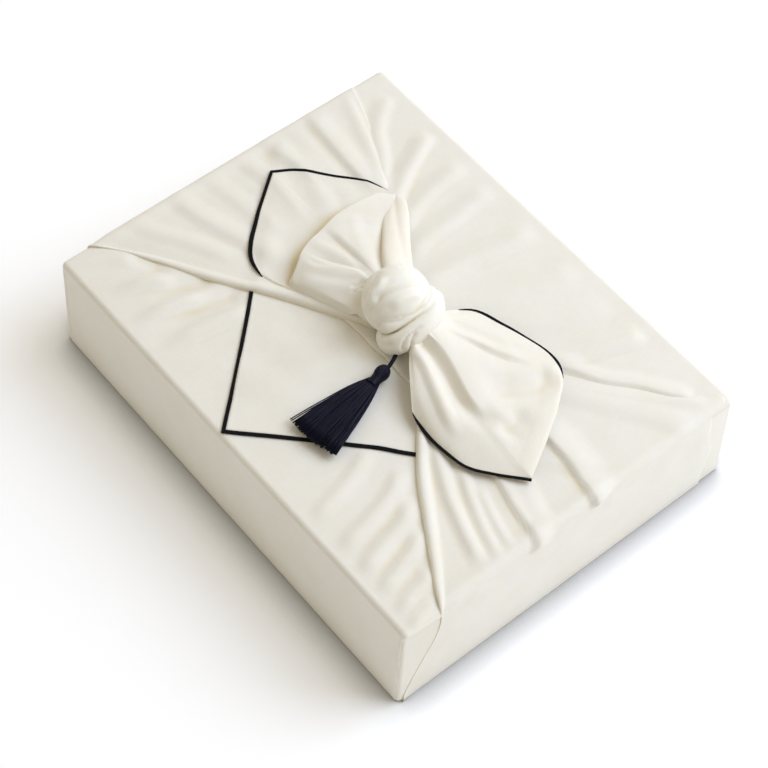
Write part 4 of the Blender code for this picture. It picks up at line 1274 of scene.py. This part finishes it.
RIGHT_TAIL_FOLDS = (
    (((26, -5.5), (30.8, -6.4), (42.7, -9.3), (56.5, -13.9), (70.2, -18.4), (85.3, -22.8),
      (100.7, -24.8)), 2.2, 7, 6.5, 6, 24),
    (((45.4, -17.1), (62, -24), (78.7, -28.3), (93.8, -28.5), (106.5, -25.4)), -0.45, 6, 6, 12, 20),
    (((27, -1.5), (34.3, -0.9), (43.7, -0.3), (55, -2.2), (67.2, -5.3), (80.6, -8.3), (95, -7.5),
      (108.5, -0.9)), -3.9, 6.0, 11, 6, 34),
    (((22, 6), (39.5, 4.4), (53.6, 2.4), (66.9, -0.4), (77.5, -2.4), (89.1, -1.1), (97, 1)),
     2.6, 22, 6, 8, 24),
    (((39.3, 20.1), (52, 26.3), (63.3, 30.8), (73.2, 36.5), (79.7, 42.3), (89.3, 46.7)),
     -1.7, 3.4, 11, 20, 18),
    (((31.7, 18), (42.2, 23.3), (52, 29.1), (62.4, 34.4), (71.8, 40.6), (80.6, 47.2)),
     1.1, 9, 3.2, 12, 14),
    (((24.5, 22.8), (36.1, 28.6), (46.5, 33.9), (57.3, 38.9), (66, 43)), -0.8, 6, 6, 8, 14),
    (((100, 58), (102, 46), (101, 34), (96, 24), (88, 14), (80, 4)), -2.8, 13, 17, 14, 22),
    (((90, 0), (97, 3.4), (106, 8), (110, 13)), 1.0, 8, 6, 10, 8),
    (((114.5, -6), (112.1, 4.7), (110.3, 13.8), (110.4, 24)), -2.3, 10, 15, 10, 12),
    (((20, 2), (28.5, 4), (40.6, 5.1)), 0.7, 2.2, 2.2, 2, 4),
    (((23, -2.4), (30.2, 1.6), (36, 3.6), (41.6, 4.6)), -1.0, 2.6, 2.6, 2, 5),
    (((20, 5), (32, 5.4), (40.7, 5.8)), -0.7, 2.2, 2.2, 2, 5),
    (((90, 59.2), (96.2, 54.4), (101.9, 47.1)), 0.7, 7, 7, 8, 8),
)
RIGHT_CLEAR = 1.4  # how far it keeps off the cloth below
FOLDED_EDGE = 3.4  # how wide its turned-under edge is
RIGHT_PAINTED_SHADE = -0.3  # its hollows lie open, so they count as less deep
print("the right tail's corner is at", RIGHT_UPPER[0][1:])


# %% Right tail
def right_tail():
    """The right tail, with its upper side's hem folded under."""
    grid, shares = fan_out(RIGHT_THROAT, RIGHT_BELLY, (RIGHT_LOWER, RIGHT_UPPER), 170, 110)
    grid[..., 2] += folds(on_flat(grid[..., 0], grid[..., 1]), RIGHT_TAIL_FOLDS)
    grid = settle(grid, ground, RIGHT_CLEAR)
    from_edge = np.linalg.norm(grid - grid[:, -1:], axis=2)
    turned = np.clip(1 - from_edge / FOLDED_EDGE, 0, 1)
    folded = ease((shares - 0.50) / 0.06) * (1 - ease((shares - 0.78) / 0.05))
    plump = np.sin(np.pi * np.clip(from_edge / (4 * FOLDED_EDGE), 0, 1))
    grid[..., 2] += folded[:, None] * (0.5 * plump + 1.2 * (np.sqrt(1 - turned ** 2) - 1) + 0.6)
    # Its hollows get less painted shade than the rest of the cloth's.
    sheet = cloth_sheet("right_tail", grid, along_cloth(grid), cotton, core=(80, 5, 0),
                        shade=RIGHT_PAINTED_SHADE)
    return sheet, shares, grid[:, -1]


right_cloth, right_shares, right_edge = right_tail()
print("right tail", round(area_of(right_cloth), 4), "m2")

# %% [markdown]
# ## The knot
#
# The knot is tied so tight that its wraps press into one rounded mass: a broad wrap over the
# top, a narrow roll that crosses in front of it, and a lower wrap that the right tail comes out
# of. Seen from a point inside, the outermost wrap in each direction is the one that shows.

# %% Knot's tables
KNOT_CORE = np.array((4.0, 3.0, 103.0))
DOME_MIDDLE = np.array((-3.0, 5.5, 110.8))
DOME_HALF = np.array((21.5, 23.5, 23.1))
KNOT_ROLL = (
    # x, y, z, radius
    (7.2, -12.0, 107.0, 4.6), (8.6, -11.2, 109.2, 5.6), (11.2, -8.8, 111.0, 5.2),
    (14.4, -4.7, 112.9, 4.2), (16.3, 0.8, 115.7, 3.5), (17.1, 7.4, 117.3, 3.3),
    (16.2, 14.0, 118.4, 3.3), (12.4, 21.0, 116.8, 3.4), (7.0, 26.0, 113.4, 3.4),
)
LOWER_WRAP = (
    (4.4, -6.3, 94.5, 6.6), (8.7, -10.8, 95.2, 7.6), (15.0, -12.0, 97.4, 8.2),
    (19.2, -9.6, 101.8, 8.3), (21.8, -3.0, 106.5, 8.6), (22.3, 6.5, 110.0, 8.8),
    (18.8, 17.0, 111.5, 8.6), (11.0, 24.5, 108.5, 7.5),
)
WRAPS_MEET = 0.22  # how softly one wrap meets the next
KNOT_SIDES = 128  # how far its skin goes down either side (degrees from straight up)
KNOT_POLE = 0.02  # how near its skin comes to its two poles (radians)
KNOT_CREASES = (
    # crest line, height, left width, right width, rise, dying away
    (((-4.9, -18, 111.6), (-2.6, -14, 122), (-1.0, -9.6, 128.9), (2.3, -0.9, 132.9),
      (6.7, 16.0, 129.6), (2.9, 27.5, 120.1)), -2.1, 6, 7.5, 6, 10),
    (((-5, -16, 119), (-4.6, -14.5, 123.2), (-6.8, -10.9, 127.0), (-7.0, -6.1, 130.6),
      (-9.4, 2.8, 132.7)), 2.2, 5, 4.6, 6, 8),
    (((7.4, -10.5, 124.7), (9.9, 1.5, 129.9), (10.2, 18.0, 125.6)), 1.6, 6, 6, 8, 10),
    (((-10.0, -16.2, 114.1), (-14.4, -10.5, 121.5), (-15.9, -3.4, 126.4), (-16, 5, 128.5)),
     -2.0, 5, 5.2, 6, 8),
    (((-20, -10, 112), (-21, 0, 119), (-20, 8, 122)), 0.9, 5, 6, 6, 8),
    (((-12, 14, 132), (-8, 22, 128), (0, 27, 122)), -2.0, 3, 4, 3, 5),
    (((14.3, -6.8, 119.8), (16.7, -1.4, 120.0), (17.4, 7.5, 121.0), (16.2, 15.4, 121.6),
      (12.4, 21.6, 120.1), (5.7, 27.6, 117.9)), -1.1, 1.5, 2.0, 2, 4),
    (((6.2, -16.3, 106.5), (6.2, -16.3, 112.9), (7.4, -15.0, 116.4), (10.5, -11.8, 119.1),
      (14.3, -6.8, 119.8)), -1.1, 1.5, 1.9, 2, 4),
    (((6.4, -15.1, 101.6), (11.3, -14.3, 105.6), (15.3, -11.8, 109.1), (18.0, -7.1, 113.3),
      (19.7, -0.3, 116.8), (20.7, 5.9, 118.9), (21.0, 11.5, 120.0), (18.5, 20.8, 119.4)),
     -1.2, 1.4, 1.6, 2, 6),
    (((26.5, 4, 117), (25.4, -4.9, 114.5), (24.8, -10.4, 110.9), (25.6, -13.5, 106.5),
      (26.5, -13.7, 101.1)), -1.9, 3.0, 1.7, 6, 3),
    (((26.5, -2, 115.5), (28.0, -7.6, 110.4), (29.1, -8.5, 106.0), (27.7, -8.6, 99.6)),
     -1.9, 2.8, 1.7, 4, 3),
    (((13, -17.5, 104), (19, -14, 110), (23.5, -6, 114), (25.5, 6, 117), (22, 18, 118)),
     0.8, 4, 6, 8, 10),
    (((10, -19, 99), (17, -18.5, 102), (22, -14, 107)), -1.3, 4, 3, 4, 6),
    (((13.5, -18.2, 101), (20, -15, 104.5), (25.5, -8, 108.5), (28.6, 2, 112), (28, 12, 114.5)),
     -1.0, 1.8, 2.6, 4, 8),
    (((2, -17, 96), (8, -18.5, 98), (14, -18, 98.5), (20, -15, 99)), -0.9, 1.6, 2.2, 3, 4),
    (((-8, -15, 124), (-2, -4, 131.5), (3, 8, 131.5), (2, 20, 126.5)), 0.9, 3.0, 2.0, 6, 10),
)


# %% Knot
def exit_from_dome(rays):
    """How far a ray from the knot's core goes before it leaves the broad wrap."""
    ray, core = rays / DOME_HALF, (KNOT_CORE - DOME_MIDDLE) / DOME_HALF
    square, half = (ray * ray).sum(axis=-1), (ray * core).sum(axis=-1)
    return (-half + np.sqrt(np.maximum(half ** 2 - square * (core @ core - 1), 0))) / square


def exit_from_wrap(rays, table):
    """The same for a rolled wrap, which is a row of balls along its line."""
    far = np.zeros(rays.shape[:-1])
    for x, y, z, radius in line_through(table, 44):
        ball = np.array((x, y, z)) - KNOT_CORE
        along = rays @ ball
        inside = along ** 2 - (ball @ ball - radius ** 2)
        far = np.maximum(far, np.where(inside > 0, along + np.sqrt(np.maximum(inside, 0)), 0))
    return far


def tied_knot():
    """The knot: the outermost wrap in each direction, with its creases."""
    turn = np.radians(np.linspace(-KNOT_SIDES, KNOT_SIDES, 176))
    tilt = np.linspace(KNOT_POLE, math.pi - KNOT_POLE, 128)
    turn, tilt = np.meshgrid(turn, tilt, indexing="ij")
    rays = [-np.cos(tilt), np.sin(tilt) * np.sin(turn), np.sin(tilt) * np.cos(turn)]
    rays = np.stack(rays, axis=-1)
    wraps = [exit_from_wrap(rays, table) for table in (KNOT_ROLL, LOWER_WRAP)]
    exits = np.stack([exit_from_dome(rays)] + wraps)
    far = exits.max(axis=0)
    far = far + WRAPS_MEET * np.log(np.exp((exits - far) / WRAPS_MEET).sum(axis=0))
    grid = KNOT_CORE + rays * far[..., None]
    grid = raised(grid, folds(grid, KNOT_CREASES, facing=rays), core=KNOT_CORE)
    # The knot has the cotton painted lighter, against the shade that it casts on itself.
    return cloth_sheet("knot", grid, along_cloth(grid), knot_cotton_painted_lighter, core=KNOT_CORE)


knot = tied_knot()
declare(knot, (0.09, 0.06))

# %% [markdown]
# ## The binding
#
# The hem's tape is folded over the cloth's raw edge and stitched down its middle. It is swept
# along the edge with two rounded ridges and a groove between them.

# %% Binding
BIND_DEEP = 0.85
# Each table of widths has share along the edge, half the tape's width (mm).
FAR_WIDTHS = ((0, 1.35), (1, 1.35))
LEFT_WIDTHS = ((0, 0.45), (0.06, 1.1), (0.40, 1.2), (0.72, 1.15), (0.90, 0.8), (1, 0.25))
UPPER_WIDTHS = (
    (0, 0.35), (0.1, 0.95), (0.25, 0.85), (0.42, 0.85), (0.6, 1.15), (0.75, 1.25), (0.9, 0.8),
    (1, 0.3),
)
LOWER_WIDTHS = ((0, 0.45), (0.12, 1.15), (0.3, 1.1), (0.45, 0.95), (1, 0.95))
# Which part of the way round each tail's edge is bound, and x where the far fold's tape ends.
LEFT_BOUND, UPPER_BOUND, LOWER_BOUND = (0.245, 0.99), (0.785, 1.0), (0.02, 0.541)
V_RUN = (-82.0, 84.0)


def closed_tube(run, sides, round_by, first=0):
    """Faces and places on the cloth for rings of points at lengths run, with both ends closed."""
    faces, places = ring_faces(len(run), sides, first), []
    for start, end in zip(run[:-1], run[1:]):
        for k in range(sides):
            here, after = k * round_by, k * round_by + round_by
            places += [(start, here), (start, after), (end, after), (end, here)]
    last = first + (len(run) - 1) * sides
    faces += [tuple(range(ring, ring + sides)) for ring in (first, last)]
    return faces, places + [(0.0, 0.0)] * (2 * sides)


def mitred(line):
    """The way ahead at each point of a line, and how much wider a tape is at its bends."""
    step = np.diff(line, axis=0)
    step /= np.linalg.norm(step, axis=1, keepdims=True)
    before, after = np.vstack([step[:1], step]), np.vstack([step, step[-1:]])
    ahead = before + after
    ahead /= np.linalg.norm(ahead, axis=1, keepdims=True)
    return ahead, 1 / np.clip((ahead * after).sum(axis=1), 0.6, 1)


def bind_edge(name, edge, widths, middle, floor, node):
    """The tape on an edge. widths has rows of share along the edge and half the tape's width."""
    ahead, wider = mitred(edge)
    run = flat_length(edge)
    half = smooth(widths, run / run[-1])[:, 0]
    away = np.column_stack([ahead[:, 1], -ahead[:, 0], np.zeros(len(edge))])
    away /= np.linalg.norm(away, axis=1, keepdims=True)
    side = np.sign((away * (edge - np.array(middle))).sum())
    centre = edge + away * side * (wider * (half - 0.4))[:, None]
    deep = BIND_DEEP * np.minimum(1, half)
    lowest = floor(centre[:, 0], centre[:, 1]) + 0.6 * deep
    centre[:, 2] = np.maximum(centre[:, 2] - CLOTH / 2, lowest)
    turn = np.linspace(0, 1, 25)[:-1] * 2 * math.pi
    wide = np.sign(np.cos(turn)) * np.abs(np.cos(turn)) ** 0.7
    high = np.sign(np.sin(turn)) * np.abs(np.sin(turn)) ** 0.7
    high = high * (1 - 0.45 * np.exp(-(wide / 0.22) ** 2))
    rings = centre[:, None] + away[:, None] * (wide[None] * (half * wider)[:, None])[..., None]
    rings[..., 2] += high[None] * deep[:, None]
    sides = len(turn)
    faces, places = closed_tube(run, sides, 0.3)
    made = build_piece(name, rings, faces, places, tape)
    rework(made, face_outwards)
    claim(made, node)
    print(name, "runs", round(run[-1]), "mm,", round(area_of(made), 5), "m2")
    return made


def edge_part(shares, edge, first, last):
    """The part of a tail's edge between two shares of the way round it."""
    return edge[(shares >= first) & (shares <= last)]


bpy.context.view_layer.update()
near_ground = ground_under(near)
v_run = np.concatenate([np.linspace(V_RUN[0], V_TIP[0], 60),
                        np.linspace(V_TIP[0], V_RUN[1], 60)[1:]])
v_line = np.column_stack([v_run, flap_edge_at(v_run), np.full(len(v_run), FAR_TOP)])
far_hem = bind_edge("far_fold_binding", v_line, FAR_WIDTHS, (0, 0, FAR_TOP), near_ground,
                    "binding_far_flap")
left_hem = bind_edge("left_tail_binding", edge_part(left_shares, left_edge, *LEFT_BOUND),
                     LEFT_WIDTHS, (-110, 15, 92), ground, "binding_left_tail")
right_hems = [
    bind_edge("right_tail_upper_binding", edge_part(right_shares, right_edge, *UPPER_BOUND),
              UPPER_WIDTHS, (80, 0, 97), ground, "binding_right_tail_upper"),
    bind_edge("right_tail_lower_binding", edge_part(right_shares, right_edge, *LOWER_BOUND),
              LOWER_WIDTHS, (80, 10, 97), ground, "binding_right_tail_lower"),
]
declare(far, (0.36, 0.30))
declare(left_cloth, (0.13, 0.105))
declare(right_cloth, (0.135, 0.105))

# %% [markdown]
# ## The tassel
#
# The tassel hangs from the knot on a twisted cord. Its head is a wound ball of thread, a neck
# wrap ties it off, and the skirt is a bundle of loose threads that spread as they lie. The
# head starts as a ball primitive that is pulled longer by hand.

# %% Tassel's head, neck and cord
TASSEL_HEAD = np.array((27.5, -31, 94.0))
TASSEL_NECK = np.array((28.8, -38.0, 93.0))
TASSEL_END = np.array((38.5, -97, 91.5))
TASSEL_SPREAD = ((0, 3.9), (0.15, 7.4), (0.5, 13.0), (1, 19.0))
STRAY, STRAY_OUT = 2, 1.02  # threads that lie apart from the rest, and how far out
TASSEL_CORD = ((27.0, -26.4, 94.0), (25.6, -22.0, 94.6), (23.6, -17.0, 96.0), (21.5, -13.0, 98.0))
HEAD_RADIUS = 5.0
HEAD_LONG = 1.25  # how much longer than wide the head is
HEAD_RIDGES, RIDGE = 26, 0.12
NECK_RADIUS = 3.9
NECK_LENGTH, NECK_TURNS = 7.6, 7
CORD_RADIUS, CORD_STRANDS, CORD_TURNS = 1.4, 3, 4.0
STRANDS = 330
THREAD_RADIUS = 0.42


def wound_head():
    """The ball of wound thread."""
    bpy.ops.mesh.primitive_uv_sphere_add(segments=48, ring_count=32, radius=HEAD_RADIUS * MM)
    head = bpy.context.object
    head.name = "tassel_ball"
    head.data.name = "tassel_ball"
    bpy.ops.object.mode_set(mode="EDIT")
    bpy.ops.mesh.select_all(action="SELECT")
    bpy.ops.transform.resize(value=(1.0, 1.0, HEAD_LONG))
    bpy.ops.object.mode_set(mode="OBJECT")
    ahead = Vector(TASSEL_NECK - TASSEL_HEAD).normalized()
    for v in head.data.vertices:
        around = math.atan2(v.co.y, v.co.x)
        v.co += v.co.normalized() * (RIDGE * MM * math.sin(HEAD_RIDGES * around))
    turned = ahead.to_track_quat("Z", "Y").to_matrix().to_4x4()
    head.data.transform(Matrix.Translation(Vector(TASSEL_HEAD) * MM) @ turned)
    head.data.uv_layers.active.name = "cloth"
    bpy.ops.object.shade_smooth()
    head.data.materials.append(thread)
    return head


def wound_neck():
    """The wrap of thread under the ball."""
    axis = (TASSEL_NECK - TASSEL_HEAD) / np.linalg.norm(TASSEL_NECK - TASSEL_HEAD)
    along = np.linspace(0, 1, 48)
    line = TASSEL_HEAD + axis * (HEAD_RADIUS - 2.2 + NECK_LENGTH * along)[:, None]
    wound = 1 + 0.02 * np.cos(2 * math.pi * NECK_TURNS * along)
    size = NECK_RADIUS * wound * (1 + 0.16 * (2 * along - 1) ** 2)
    table = np.column_stack([along, line, size, size])
    return strap("tassel_tie", table, (0.0, 0.0, 1.0), (), 48, 32, thread)


def twisted_cord():
    """The cord from the knot to the ball, of three strands."""
    line = line_through(TASSEL_CORD, 40)
    size = np.full(len(line), CORD_RADIUS)
    table = np.column_stack([np.linspace(0, 1, len(line)), line, size, size])
    grooves = [(k / CORD_STRANDS, CORD_TURNS, 0.28, 0.05) for k in range(CORD_STRANDS)]
    return strap("tassel_loop", table, (1.0, 0.0, 0.0), grooves, 60, 24, thread)


for piece, node in ((wound_head(), "tassel_head"), (wound_neck(), "tassel_neck"),
                    (twisted_cord(), "tassel_cord")):
    claim(piece, node)
print("tassel head", round(2 * HEAD_RADIUS, 1), "mm across")


# %% Tassel's skirt
def skirt():
    """The loose threads, all one piece."""
    rng = np.random.default_rng(7)
    axis = TASSEL_END - TASSEL_NECK
    reach = np.linalg.norm(axis)
    axis = axis / reach
    side = np.cross(axis, (0, 0, 1))
    side /= np.linalg.norm(side)
    up = np.cross(side, axis)
    points, faces, places = [], [], []
    sides, steps = 5, 9
    for strand in range(STRANDS):
        angle = 2 * math.pi * rng.random()
        depth = math.sqrt(rng.random())
        across, high = depth * math.cos(angle), depth * math.sin(angle)
        if strand < STRAY:
            across, high = STRAY_OUT + 0.07 * strand, 0.0
        length = reach * (0.955 + 0.05 * rng.random() - 0.03 * across * across)
        wander = rng.normal(0, 0.5, 2)
        share = np.linspace(0, 1, steps)
        spread = smooth(TASSEL_SPREAD, share)[:, 0]
        tall = 2.9 + 1.4 * np.sin(np.pi * share) ** 0.8 - 0.9 * share
        line = TASSEL_NECK + axis * (length * share)[:, None]
        sway = wander[0] * np.sin(math.pi * share * 1.5) * share
        line = line + side * (across * spread + sway)[:, None]
        line = line + up * (high * tall + 0.25 * wander[1] * share)[:, None]
        line[:, 2] = np.maximum(line[:, 2], FAR_TOP + 1.0 + 0.3 * rng.random())
        ahead = np.gradient(line, axis=0)
        ahead /= np.linalg.norm(ahead, axis=1, keepdims=True)
        tube, on_tube = closed_tube(length * share, sides, 0.5, len(points))
        faces += tube
        places += [(round_by, along) for along, round_by in on_tube]
        for step in range(steps):
            out = np.cross(ahead[step], side)
            for k in range(sides):
                turn = 2 * math.pi * k / sides + 2.4 * share[step]
                around = side * math.cos(turn) + out * math.sin(turn)
                points.append(line[step] + THREAD_RADIUS * around)
    made = build_piece("tassel_threads", points, faces, places, thread)
    rework(made, face_outwards)
    return made


threads = skirt()
claim(threads, "tassel_skirt")
print("tassel threads:", STRANDS)
